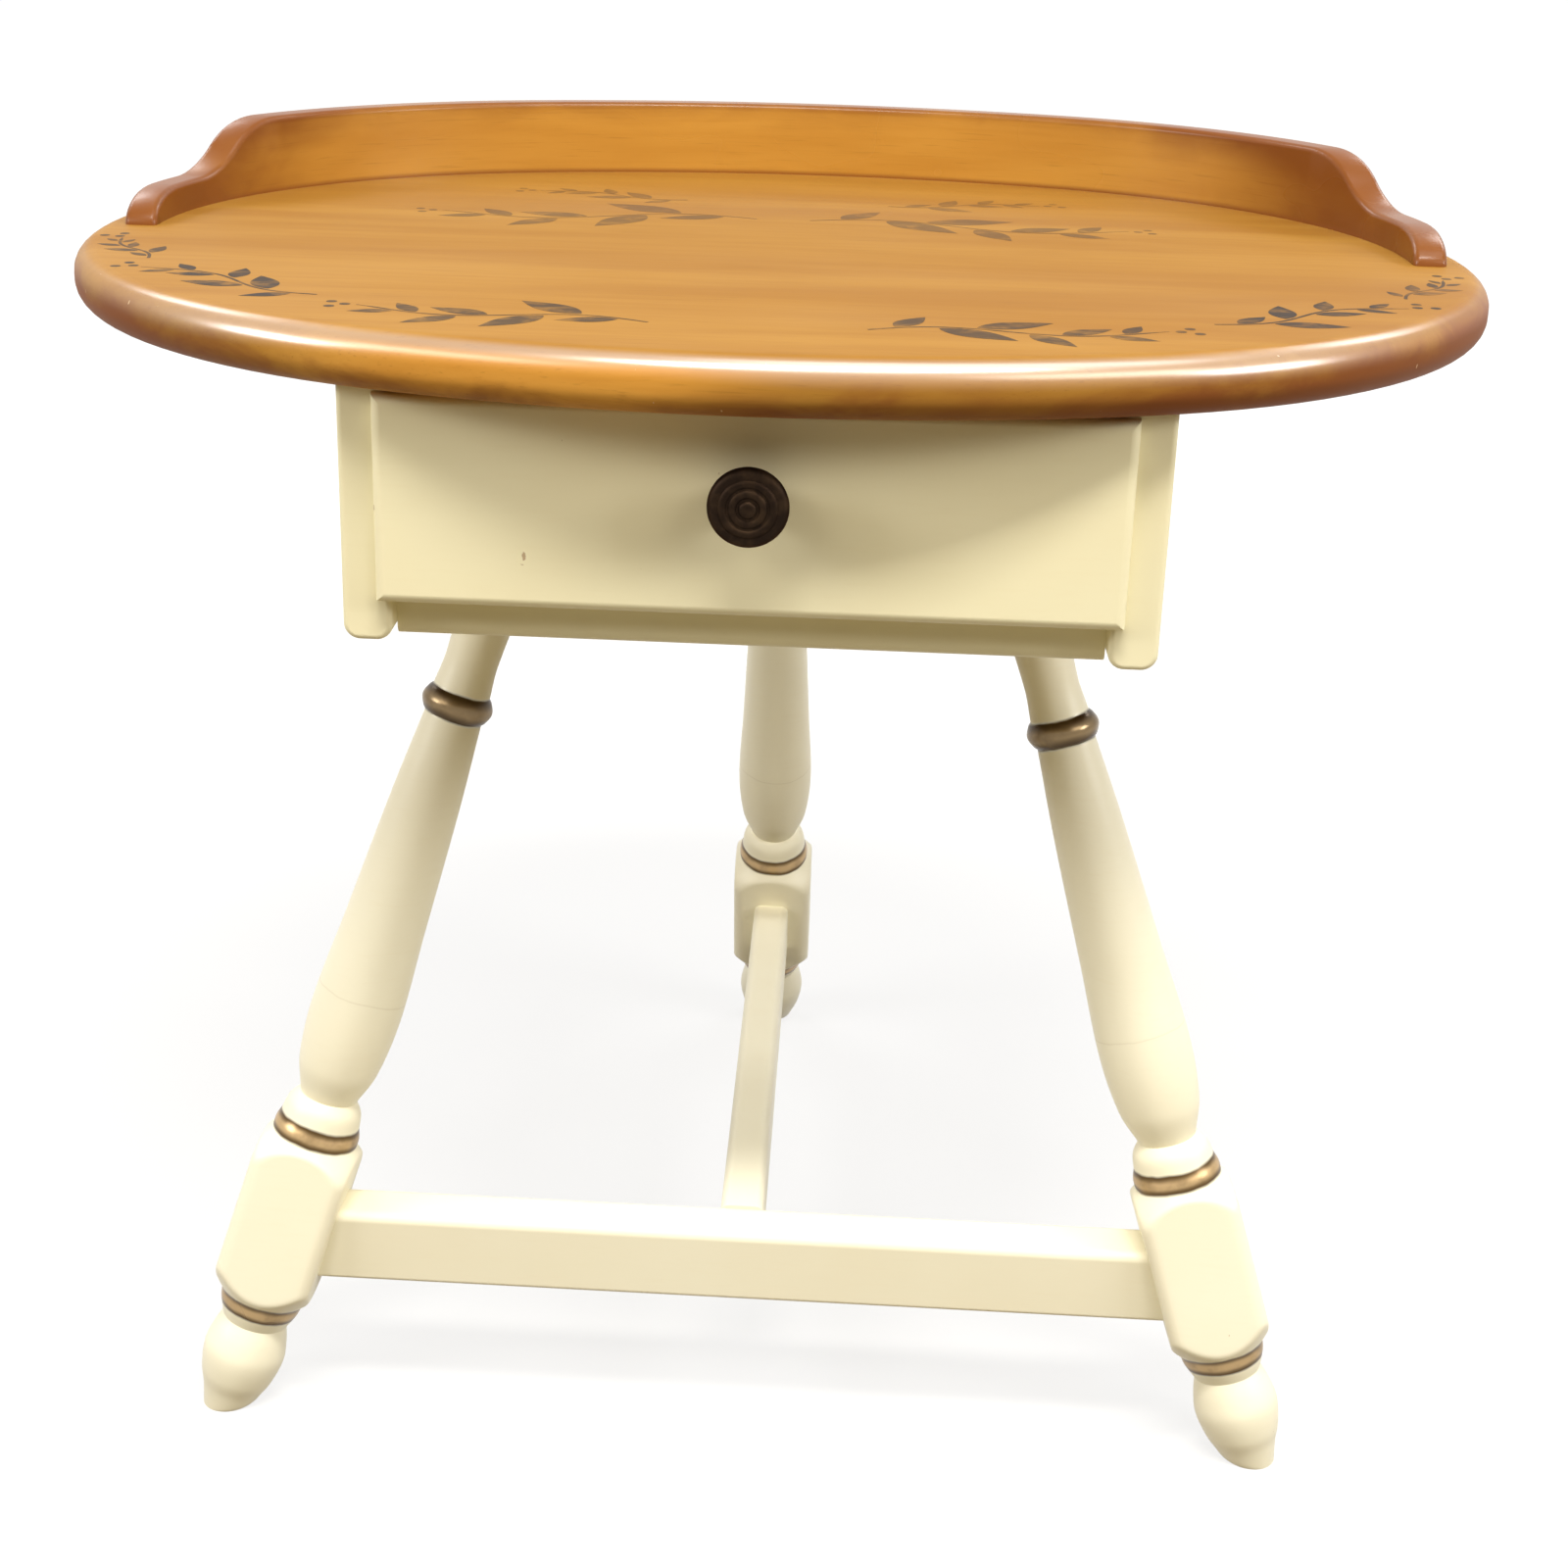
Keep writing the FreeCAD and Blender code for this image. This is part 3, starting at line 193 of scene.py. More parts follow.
class TavernTableColours(bpy.types.PropertyGroup):
    maple_light: colour_property(
        "Maple light", "Lightest tone of the honey-stained maple", (0.347, 0.174, 0.028))
    maple_deep: colour_property(
        "Maple deep", "Deeper tone of the honey-stained maple", (0.268, 0.117, 0.014))
    # Also the painted shade down the top's rim, toward its underside, to the right and at the ends.
    maple_burnt_and_shade: colour_property(
        "Maple burnt", "Worn brown of the maple's handled edges", (0.19, 0.055, 0.012))
    maple_nick: colour_property("Maple nick", "Pale wood in small nicks of the rim", (0.8, 0.6, 0.36))
    gallery_red: colour_property("Gallery red", "Reddish brown of the gallery", (0.17, 0.047, 0.005))
    # A painted shadow line along the gallery's foot where it meets the top.
    gallery_foot_shadow: colour_property(
        "Gallery foot", "Darker line where the gallery meets the top", (0.2, 0.062, 0.010))
    stencil: colour_property(
        "Stencil", "Grey brown paint of the stencilled leaves", (0.014, 0.010, 0.008))
    # The case's cream is a darker, shaded copy and the legs' cream a paler, lit copy of one cream paint:
    # painted shade and painted light.
    shaded_case_cream: colour_property("Case cream", "Cream paint of the case and drawer", (0.90, 0.845, 0.59))
    lit_leg_cream: colour_property(
        "Leg cream", "Slightly paler cream of the legs and stretchers", (0.95, 0.91, 0.73))
    cream_speck: colour_property("Cream speck", "Small specks in the cream paint", (0.5, 0.38, 0.2))
    cream_score: colour_property("Cream score", "Scored line round a leg", (0.45, 0.36, 0.2))
    # The ring gold's pale tone, strongest in a ring's middle, is partly a painted highlight.
    ring_gold_and_highlight: colour_property("Ring gold", "Bronze paint on the rings of the legs", (0.52, 0.36, 0.18))
    ring_olive: colour_property(
        "Ring border", "Soft olive border of the bronze paint", (0.090, 0.048, 0.012))
    bronze: colour_property("Bronze", "Dark bronze of the knob", (0.015, 0.009, 0.006))
    bronze_rubbed: colour_property("Rubbed bronze", "Bronze where it is rubbed", (0.034, 0.020, 0.011))
    chip: colour_property("Chip", "Wood that shows in the nicks of the drawer front", (0.33, 0.17, 0.075))
    poplar: colour_property("Bare poplar", "Bare wood inside the case and drawer", (0.66, 0.52, 0.33))
    birch: colour_property("Birch dowel", "Wood of the dowels", (0.78, 0.63, 0.42))
    steel: colour_property("Screw steel", "Zinc-plated screws", (0.55, 0.55, 0.55))


def rgba(colour):
    """A colour as a node takes it."""
    return (*colour, 1.0)


def shade(colour, part):
    """A darker or lighter shade of a colour."""
    return tuple(part * c for c in colour)


class Nodes:
    """A node tree while its nodes are put together."""

    def __init__(self, tree):
        self.tree = tree

    def feed(self, node, values):
        """Sets or links a node's inputs, which are given by number or by label."""
        for key, value in values.items():
            name = key.replace("_", " ").title().replace("Ior", "IOR") if isinstance(key, str) else key
            socket = node.inputs["Specular IOR Level" if name == "Specular" else name]
            if isinstance(value, bpy.types.NodeSocket):
                self.tree.links.new(value, socket)
            else:
                socket.default_value = value

    def node(self, kind, inputs=None, **settings):
        made = self.tree.nodes.new("ShaderNode" + kind)
        for key, value in settings.items():
            setattr(made, key, value)
        self.feed(made, inputs or {})
        return made

    def calc(self, operation, first, second=0.0):
        return self.node("Math", {0: first, 1: second}, operation=operation).outputs[0]

    def add(self, first, second):
        return self.calc("ADD", first, second)

    def times(self, first, second):
        return self.calc("MULTIPLY", first, second)

    def span(self, value, low, high, start=0.0, end=1.0):
        """Runs softly from start to end while the value goes from low to high."""
        values = {0: value, 1: low, 2: high, 3: start, 4: end}
        return self.node("MapRange", values, interpolation_type="SMOOTHSTEP").outputs[0]

    def band(self, value, rise, fall):
        """1 between a soft rise and a soft fall, and 0 outside them."""
        return self.times(self.span(value, *rise), self.span(value, *fall, start=1.0, end=0.0))

    def mix(self, factor, first, second, blend="MIX"):
        made = self.node("Mix", {0: factor}, data_type="RGBA", blend_type=blend, clamp_factor=True)
        self.feed(made, {6: first, 7: second})
        return made.outputs[2]

    def straight_rays(self):
        """1 for what the camera sees, also in a mirror or through glass, and 0 for light on the object."""
        rays = self.node("LightPath").outputs
        seen = self.calc("MAXIMUM", rays["Is Camera Ray"], rays["Is Glossy Ray"])
        return self.calc("MAXIMUM", seen, rays["Is Transmission Ray"])


class Finish(Nodes):
    """A procedural finish while its nodes are put together."""

    def __init__(self, name, **shader):
        self.material = bpy.data.materials.new(name)
        self.material.use_nodes = True
        super().__init__(self.material.node_tree)
        self.shader = self.tree.nodes["Principled BSDF"]
        self.feed(self.shader, shader)

    def finish(self, **shader):
        self.feed(self.shader, shader)
        return self.material

    def place(self):
        """Where a point lies, in the piece's own coordinates."""
        return self.node("TexCoord").outputs["Object"]

    def attribute(self, name, output="Fac"):
        return self.node("Attribute", attribute_name=name).outputs[output]

    def part(self, where, axis):
        return self.node("SeparateXYZ", {0: where}).outputs[axis]

    def distance(self, where, centre=(0, 0, 0)):
        values = {0: where, 1: centre}
        return self.node("VectorMath", values, operation="DISTANCE").outputs["Value"]

    def mapped(self, where, scale=(1, 1, 1), turn=(0, 0, 0)):
        return self.node("Mapping", {0: where, "Scale": scale, "Rotation": turn}).outputs[0]

    def noise(self, where, scale, detail, roughness=0.5, distortion=0.0):
        """Noise with its own scale along each axis."""
        values = {"Vector": self.mapped(where, scale), "Scale": 1.0, "Detail": detail,
                  "Roughness": roughness, "Distortion": distortion}
        return self.node("TexNoise", values).outputs[0]

    def even_noise(self, where, scale, detail, roughness=0.5):
        """Noise with the same scale along all axes."""
        return self.noise(where, (scale, scale, scale), detail, roughness)

    def bump(self, height, strength, distance):
        values = {"Height": height, "Strength": strength, "Distance": distance}
        return self.node("Bump", values).outputs[0]


def wood_tone(f, where, light, deep):
    """Colour, height and slow change of long-grained wood whose grain runs along the first coordinate."""
    figure = f.noise(where, (2.4, 17, 17), detail=4, roughness=0.55, distortion=0.6)
    streak = f.noise(where, (9, 190, 190), detail=3, roughness=0.6, distortion=0.2)
    pores = f.noise(where, (34, 1100, 1100), detail=2)
    cloud = f.noise(where, (6, 10, 10), detail=2)
    tone = f.mix(f.span(figure, 0.3, 0.72), rgba(light), rgba(deep))
    tone = f.mix(f.span(streak, 0.42, 0.75, end=0.42), tone, rgba(deep))
    tone = f.mix(f.span(cloud, 0.35, 0.75, end=0.3), tone, rgba(deep))
    tone = f.mix(f.span(pores, 0.58, 0.8, end=0.35), tone, rgba(shade(deep, 0.55)))
    height = f.add(pores, f.times(streak, 0.6))
    return tone, height, cloud


def maple_base(name, colours):
    """The varnished maple that the top and its stencilled paint share, with its sheen across the back."""
    f = Finish(name, specular=0.12, coat_roughness=0.25, coat_ior=2.8)
    where = f.place()
    tone, height, cloud = wood_tone(f, where, colours.maple_light, colours.maple_deep)
    back = f.part(where, "Y")
    rough = f.add(f.span(cloud, 0.3, 0.7, start=-0.03, end=0.03),
                  f.span(back, 0.0, 0.12, start=0.55, end=0.40))
    coat = f.span(back, 0.02, 0.16, end=0.3)
    return f, where, tone, rough, coat, f.bump(height, strength=0.12, distance=0.00012)


def maple_finish(name, colours):
    """Varnished honey maple of the top: brown where its rim has been handled, with painted shade down the rim
    toward its underside, to the right and at the ends, a painted lit stretch left of the middle, and small
    pale nicks.
    """
    f, where, tone, rough, coat, normal = maple_base(name, colours)
    rim = f.attribute("rim")
    across = f.part(where, "X")
    ends = f.calc("ABSOLUTE", across)

    # Painted light: a stretch of the rim left of the middle is painted lighter, as where more light falls on
    # it.
    lit_patch = f.times(f.span(across, -0.25, -0.12), f.span(across, -0.05, 0.03, start=1.0, end=0.2))
    lit_tone = f.mix(1.0, tone, (1.95, 1.9, 2.1, 1), blend="MULTIPLY")
    tone = f.mix(f.times(lit_patch, f.span(rim, 0.36, 0.58)), tone, lit_tone)

    # The brown of wear and painted shade comes on down the rim toward its underside, sooner to the right and
    # at both ends, and less in the painted lit stretch.
    blotch = f.noise(where, (13, 17, 26), detail=4, roughness=0.62, distortion=0.7)
    worn = f.add(rim, f.span(blotch, 0.3, 0.75, start=-0.2, end=0.2))
    worn = f.add(worn, f.span(ends, 0.15, 0.33, start=-0.18, end=0.26))
    worn = f.add(worn, f.span(across, 0.02, 0.14, end=0.16))
    worn = f.calc("SUBTRACT", worn, f.times(lit_patch, 0.12))
    tone = f.mix(f.span(worn, 0.5, 1.15, end=0.95), tone, rgba(colours.maple_burnt_and_shade))

    nick = f.noise(where, (420, 420, 150), detail=1, roughness=0.4)
    nick = f.times(f.span(nick, 0.805, 0.82), f.span(rim, 0.2, 0.35))
    tone = f.mix(f.times(nick, 0.7), tone, rgba(colours.maple_nick))

    # The varnish shines along the upper rounding, less at the ends.
    shine = f.times(f.span(rim, 0.18, 0.34),
                    f.span(f.add(rim, f.times(lit_patch, 0.12)), 0.46, 0.86, start=1.0, end=0.0))
    coat = f.calc("MAXIMUM", coat, f.times(shine, f.span(ends, 0.2, 0.31, start=1.0, end=0.3)))
    return f.finish(base_color=tone, roughness=rough, coat_weight=coat, normal=normal)


def stencil_finish(name, colours):
    """Thin paint under the top's varnish, worn through to the maple in places."""
    f, where, tone, rough, coat, normal = maple_base(name, colours)
    worn = f.noise(where, (55, 75, 60), detail=4, roughness=0.65, distortion=0.5)
    scuff = f.noise(where, (160, 900, 500), detail=2)
    cover = f.span(f.add(worn, f.times(scuff, 0.3)), 0.6, 0.9, start=1.0, end=0.4)
    cover = f.times(cover, f.attribute("wear"))
    tone = f.mix(cover, tone, rgba(colours.stencil))
    return f.finish(base_color=tone, roughness=rough, coat_weight=coat, normal=normal)


def gallery_finish(name, colours):
    """Maple of the gallery, grain along its curve, browner at its upper edge and toward its ends, with a
    painted shadow line along its foot.
    """
    f = Finish(name, specular=0.25)
    where = f.attribute("grain", "Vector")
    height_up = f.part(where, "Z")
    # Upright faces get less light than the top does, so their maple is lighter.
    light, deep = (shade(colour, 1.45) for colour in (colours.maple_light, colours.maple_deep))
    tone, height, cloud = wood_tone(f, where, light, deep)
    blotch = f.noise(where, (14, 30, 30), detail=3, roughness=0.6, distortion=0.5)
    run = f.calc("ABSOLUTE", f.add(f.part(where, "X"), 0.03))
    # Browner toward the upper edge and toward the ends, the right end a little sooner than the left.
    worn = f.add(f.span(height_up, 0.014, 0.042, end=0.4), f.span(run, 0.23, 0.42, end=0.95))
    worn = f.add(worn, f.span(height_up, 0.035, 0.040, end=0.4))
    worn = f.add(worn, f.span(blotch, 0.3, 0.75, start=-0.1, end=0.1))
    tone = f.mix(f.span(worn, 0.1, 1.0, end=0.95), tone, rgba(colours.gallery_red))
    # Painted shadow: a darker line along the gallery's foot where it meets the top.
    foot = f.span(height_up, 0.0, 0.0032, start=0.9, end=0.0)
    tone = f.mix(foot, tone, rgba(colours.gallery_foot_shadow))
    rough = f.span(cloud, 0.3, 0.7, start=0.24, end=0.34)
    normal = f.bump(height, strength=0.12, distance=0.00012)
    return f.finish(base_color=tone, roughness=rough, normal=normal)


def cream_tone(f, where, light, colours):
    """Colour, height and roughness of brushed cream paint, a little deeper where it is thin."""
    thin = rgba([c * part for c, part in zip(light, (0.96, 0.93, 0.88))])
    cloud = f.even_noise(where, 8, detail=3)
    brush = f.noise(where, (60, 60, 520), detail=2)
    orange_peel = f.even_noise(where, 320, detail=2)
    speck = f.noise(where, (420, 420, 260), detail=1, roughness=0.4)
    tone = f.mix(f.span(cloud, 0.35, 0.8, end=0.55), rgba(light), thin)
    tone = f.mix(f.span(brush, 0.5, 0.8, end=0.2), tone, thin)
    tone = f.mix(f.span(speck, 0.835, 0.85, end=0.6), tone, rgba(colours.cream_speck))
    height = f.add(orange_peel, f.times(brush, 0.8))
    return tone, height, f.span(cloud, 0.3, 0.7, start=0.34, end=0.46)


def nicked(f, where, tone, height, nicks, colours):
    """Colour and height with small nicks that show the wood at the given places (x, y, z, radius)."""
    ragged = f.even_noise(where, 900, detail=2, roughness=0.6)
    ragged = f.span(ragged, 0.2, 0.8, start=-0.0006, end=0.0006)
    squeezed = f.mapped(where, (NICK_SQUEEZE, NICK_SQUEEZE, 1))
    for x, y, z, radius in nicks:
        away = f.distance(squeezed, (NICK_SQUEEZE * x, NICK_SQUEEZE * y, z))
        chip = f.span(f.add(away, ragged), 0.6 * radius, radius, start=0.7, end=0.0)
        tone = f.mix(chip, tone, rgba(colours.chip))
        height = f.calc("SUBTRACT", height, chip)
    return tone, height


def cream_finish(name, light, colours, nicks=()):
    """Satin cream paint, with or without nicks."""
    f = Finish(name, specular=0.4)
    where = f.place()
    tone, height, rough = cream_tone(f, where, light, colours)
    if nicks:
        tone, height = nicked(f, where, tone, height, nicks, colours)
    normal = f.bump(height, strength=0.10, distance=0.0002)
    return f.finish(base_color=tone, roughness=rough, normal=normal)


def leg_finish(name, colours):
    """Cream paint, a paler copy as painted light, with three bronze-painted rings, a border of thin olive
    beside them, and a scored line; the rings carry painted shade, the top one most, and a paler middle that
    is partly a painted highlight.
    """
    f = Finish(name, specular=0.4)
    where = f.place()
    # The legs' cream is the paler, lit copy of the case's cream: painted light.
    tone, height, rough = cream_tone(f, where, colours.lit_leg_cream, colours)
    wobble = f.span(f.even_noise(where, 60, detail=2), 0.2, 0.8, start=-0.0006, end=0.0006)
    along = f.add(f.attribute("along"), wobble)
    mottle = f.even_noise(where, 90, detail=3, roughness=0.6)
    score = f.band(along, SCORE_IN, SCORE_OUT)
    tone = f.mix(f.times(score, 0.14), tone, rgba(colours.cream_score))
    painted = 0.0
    for low, high, ring_shade in RINGS:
        low, high = low * MM, high * MM
        fade = 0.4 * (high - low)
        # Painted shade: each ring's paint is darkened by its ring shade, most on the top ring under the case.
        gold = rgba(shade(colours.ring_gold_and_highlight, 1 - 0.72 * ring_shade))
        olive = rgba(shade(colours.ring_olive, 1 - 0.5 * ring_shade))
        cover = f.band(along, (low - RING_BLUR, low + RING_BLUR), (high - RING_BLUR, high + RING_BLUR))
        # The gold grows paler toward a ring's middle, partly a painted highlight.
        inner = f.calc("POWER", f.band(along, (low, low + fade), (high - fade, high)), 2.0)
        paint = f.mix(inner, olive, gold)
        paint = f.mix(f.span(mottle, 0.4, 0.75, end=0.4), paint, olive)
        tone = f.mix(cover, tone, paint)
        painted = f.add(cover, painted)
    rough = f.calc("SUBTRACT", rough, f.times(painted, 0.1))
    height = f.calc("SUBTRACT", height, f.times(score, 0.6))
    normal = f.bump(height, strength=0.10, distance=0.0002)
    return f.finish(base_color=tone, roughness=rough, metallic=f.times(painted, 0.5), normal=normal)


def bronze_finish(name, colours):
    """Dark oil-rubbed bronze, rubbed a little lighter in places."""
    f = Finish(name, metallic=0.9, specular=0.3, specular_tint=(0.55, 0.42, 0.28, 1))
    where = f.place()
    cloud = f.even_noise(where, 150, detail=3, roughness=0.6)
    grit = f.even_noise(where, 900, detail=2)
    tone = f.mix(f.span(cloud, 0.35, 0.75), rgba(colours.bronze), rgba(colours.bronze_rubbed))
    rough = f.span(cloud, 0.3, 0.7, start=0.46, end=0.58)
    normal = f.bump(grit, strength=0.08, distance=0.0001)
    return f.finish(base_color=tone, roughness=rough, normal=normal)


def bare_wood_finish(name, colour, turn=0.0):
    """Planed wood without a finish, its grain turned from the left-right direction."""
    f = Finish(name, specular=0.25, roughness=0.62)
    where = f.mapped(f.place(), turn=(0, 0, turn))
    tone, height, _ = wood_tone(f, where, colour, shade(colour, 0.78))
    return f.finish(base_color=tone, normal=f.bump(height, strength=0.25, distance=0.00015))


def steel_finish(name, colour):
    """Zinc-plated steel."""
    f = Finish(name, metallic=1.0)
    cloud = f.even_noise(f.place(), 300, detail=3, roughness=0.6)
    tone = f.mix(cloud, rgba(colour), rgba(shade(colour, 0.8)))
    return f.finish(base_color=tone, roughness=f.span(cloud, 0.3, 0.7, start=0.28, end=0.42))


def finished(name, make, *values):
    """The finish of that name, made the first time it is asked for."""
    known = bpy.data.materials.get(name)
    return known if known else make(name, *values)


def long_poplar(colours):
    """Bare poplar with its grain from front to back."""
    return finished("bare_poplar_long", bare_wood_finish, colours.poplar, math.pi / 2)


def dress(node_names, material):
    """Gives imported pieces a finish."""
    for name in node_names:
        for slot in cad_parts[name].material_slots:
            slot.material = material


def new_object(name, work):
    """Makes an object from a finished bmesh."""
    mesh = bpy.data.meshes.new(name)
    work.to_mesh(mesh)
    work.free()
    made = bpy.data.objects.new(name, mesh)
    bpy.context.scene.collection.objects.link(made)
    return made


def new_piece(name, work, material, replaced=()):
    """Makes a piece of the fixed frame from a finished bmesh, with its place in its mesh."""
    piece = new_object(name, work)
    piece.data.materials.append(material)
    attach(piece, "frame")
    if replaced:
        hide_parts(*replaced)
    return piece


def smooth_above(piece, degrees):
    """Smooth shading with sharp lines only where faces meet at more than that angle."""
    for face in piece.data.polygons:
        face.use_smooth = True
    piece.data.set_sharp_from_angle(angle=math.radians(degrees))


def only_verts(geometry):
    return [part for part in geometry if isinstance(part, bmesh.types.BMVert)]


def outline_edges(work, sizes, height):
    """Draws the top's oval by turning a point through its four arcs."""
    middle = -sizes.top_shift
    span = sizes.end_angle
    arcs = (
        ((sizes.end_centre, middle, height), 2 * span, END_STEPS),
        ((0, middle - sizes.side_centre, height), math.pi - 2 * span, SIDE_STEPS),
        ((-sizes.end_centre, middle, height), 2 * span, END_STEPS),
        ((0, middle + sizes.side_centre, height), math.pi - 2 * span, SIDE_STEPS),
    )
    start = Vector(arcs[0][0]) + sizes.end_radius * Vector((math.cos(span), -math.sin(span), 0))
    last = bmesh.ops.create_vert(work, co=start)["vert"]
    for centre, angle, steps in arcs:
        spun = bmesh.ops.spin(work, geom=last, cent=centre, axis=(0, 0, 1), angle=angle, steps=steps,
                              use_merge=False)
        last = only_verts(spun["geom_last"])
    bmesh.ops.remove_doubles(work, verts=work.verts, dist=ARC_SAME)
    return list(work.edges)


def rim_depth(sizes, x, y):
    """How far a point of the top lies inside its outline."""
    aside, ahead = abs(x), abs(y + sizes.top_shift)
    if math.atan2(ahead, aside - sizes.end_centre) < sizes.end_angle:
        return sizes.end_radius - math.hypot(aside - sizes.end_centre, ahead)
    return sizes.side_radius - math.hypot(aside, ahead + sizes.side_centre)


class TAVERN_OT_top(bpy.types.Operator):
    """Makes the oval top with both rims rounded"""
    bl_idname = "tavern.top"
    bl_label = "Oval top"

    def execute(self, context):
        sizes, colours = context.scene.tavern_sizes, context.scene.tavern_colours
        low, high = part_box("tabletop")
        work = bmesh.new()
        outline = outline_edges(work, sizes, high.z)
        face = bmesh.ops.contextual_create(work, geom=outline)["faces"]
        lower = only_verts(bmesh.ops.extrude_face_region(work, geom=face)["geom"])
        bmesh.ops.translate(work, vec=(0, 0, low.z - high.z), verts=lower)
        bmesh.ops.recalc_face_normals(work, faces=work.faces)
        rims = [edge for edge in work.edges if abs(edge.verts[0].co.z - edge.verts[1].co.z) < SAME]
        bmesh.ops.bevel(work, geom=rims, offset=sizes.edge_round, offset_type="OFFSET", segments=RIM_STEPS,
                        profile=0.5, affect="EDGES", material=-1, clamp_overlap=False)
        flat = [face for face in work.faces if len(face.verts) > 8 and face.normal.z > 0.9]
        for width in RIM_RINGS:
            bmesh.ops.inset_region(work, faces=flat, thickness=width, use_even_offset=True)
        rim = work.verts.layers.float.new("rim")
        for vert in work.verts:
            inward = rim_depth(sizes, vert.co.x, vert.co.y)
            fall = (high.z - vert.co.z) / (high.z - low.z)
            vert[rim] = RIM_VALUE * max(0.0, 1 - inward / RIM_WIDTH) + RIM_RISE * fall
        finish = finished("honey_maple", maple_finish, colours)
        smooth_above(new_piece("oval_top", work, finish, ("tabletop",)), 40)
        return {"FINISHED"}


class TAVERN_OT_gallery(bpy.types.Operator):
    """Smooths the gallery and runs its grain along its curve"""
    bl_idname = "tavern.gallery"
    bl_label = "Gallery"

    def execute(self, context):
        sizes, colours = context.scene.tavern_sizes, context.scene.tavern_colours
        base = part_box("tabletop")[1].z
        work = bmesh.new()
        work.from_mesh(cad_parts["gallery"].data)
        bmesh.ops.remove_doubles(work, verts=work.verts, dist=SAME)
        meeting = math.pi / 2 - sizes.end_angle
        grain = work.verts.layers.float_vector.new("grain")
        for vert in work.verts:
            x, y = vert.co.x, vert.co.y + sizes.top_shift
            turn = math.atan2(x, y + sizes.side_centre)
            run = sizes.side_radius * turn
            if abs(turn) > meeting:
                beyond = math.atan2(abs(x) - sizes.end_centre, y) - meeting
                run = math.copysign(sizes.side_radius * meeting + sizes.end_radius * beyond, x)
            vert[grain] = (run, rim_depth(sizes, vert.co.x, vert.co.y), vert.co.z - base)
        finish = finished("gallery_maple", gallery_finish, colours)
        smooth_above(new_piece("curved_gallery", work, finish, ("gallery",)), 35)
        return {"FINISHED"}


def add_leaf(work, where, turn, length, width):
    """Adds a pointed leaf, its stem end at the given place."""
    verts = bmesh.ops.create_circle(work, cap_ends=True, cap_tris=False, segments=LEAF_SIDES,
                                    radius=0.5)["verts"]
    for vert in verts:
        along = vert.co.x + 0.5
        swell = math.sin(math.pi * min(1, max(0, along)) ** LEAF_SHAPE)
        vert.co.x, vert.co.y = along, math.copysign(0.5 * abs(swell), vert.co.y)
    bmesh.ops.scale(work, vec=(length, width, 1), verts=verts)
    bmesh.ops.rotate(work, cent=(0, 0, 0), matrix=Matrix.Rotation(turn, 3, "Z"), verts=verts)
    bmesh.ops.translate(work, vec=where, verts=verts)
    return verts


def add_berry(work, where, radius):
    """Adds a round berry."""
    verts = bmesh.ops.create_circle(work, cap_ends=True, cap_tris=False, segments=BERRY_SIDES,
                                    radius=radius)["verts"]
    bmesh.ops.translate(work, vec=where, verts=verts)
    return verts


def add_stem(work, points, width):
    """Adds a thin stem through the points, narrower at its tip."""
    pairs = []
    for index, point in enumerate(points):
        ahead = points[min(index + 1, len(points) - 1)] - points[max(index - 1, 0)]
        half = (0.5 if index < len(points) - 2 else 0.2) * width
        aside = Vector((-ahead.y, ahead.x, 0)).normalized() * half
        pairs.append([bmesh.ops.create_vert(work, co=point + step)["vert"][0] for step in (aside, -aside)])
    for first, second in zip(pairs, pairs[1:]):
        bmesh.ops.contextual_create(work, geom=[*first, *reversed(second)])
    return [vert for pair in pairs for vert in pair]


def add_spray(work, start, heading, length, sway, leaf_length):
    """Adds a spray: a swaying stem, leaves on both sides with a stencil's gaps, and berries at its tip."""
    turn = Matrix.Rotation(heading, 3, "Z")

    def stem(t):
        wave = math.sin(2 * STEM_WAVES * math.pi * t)
        return start + turn @ Vector((length * t, length * sway * wave, 0))

    verts = add_stem(work, [stem(step / STEM_STEPS) for step in range(STEM_STEPS + 1)], STEM_WIDTH)
    for t, side, share in LEAVES:
        ahead = (stem(t + 0.01) - stem(t - 0.01)).normalized()
        gap = LEAF_GAP + LEAF_GAP_SHARE * length * share
        spot = stem(t) + Vector((-ahead.y, ahead.x, 0)) * side * gap
        leaf = leaf_length * share * length / FULL_SPRAY
        lean = math.atan2(ahead.y, ahead.x) + side * LEAF_LEAN
        verts += add_leaf(work, spot, lean, leaf, leaf * LEAF_WIDTH)
    for onward, aside in BERRIES:
        verts += add_berry(work, stem(1) + turn @ Vector((onward, aside, 0)), BERRY_RADIUS)
    return verts


class TAVERN_OT_stencil(bpy.types.Operator):
    """Paints worn sprays of leaves and berries on the top"""
    bl_idname = "tavern.stencil"
    bl_label = "Stencilled sprays"

    def execute(self, context):
        sizes, colours = context.scene.tavern_sizes, context.scene.tavern_colours
        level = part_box("tabletop")[1].z + sizes.paint_film
        work = bmesh.new()
        wear = work.verts.layers.float.new("wear")
        for mirror in (1, -1):
            for x, y, heading, length, sway, strength in SPRAYS:
                if mirror == -1:
                    heading = math.pi - heading
                start = Vector((mirror * x, y, level))
                for vert in add_spray(work, start, heading, length, mirror * sway, sizes.leaf_length):
                    vert[wear] = strength
        downward = [face for face in work.faces if face.normal.z < 0]
        bmesh.ops.reverse_faces(work, faces=downward)
        bmesh.ops.solidify(work, geom=work.faces[:], thickness=0.5 * sizes.paint_film)
        bmesh.ops.recalc_face_normals(work, faces=work.faces)
        finish = finished("stencil_on_maple", stencil_finish, colours)
        new_piece("stencilled_sprays", work, finish)
        return {"FINISHED"}


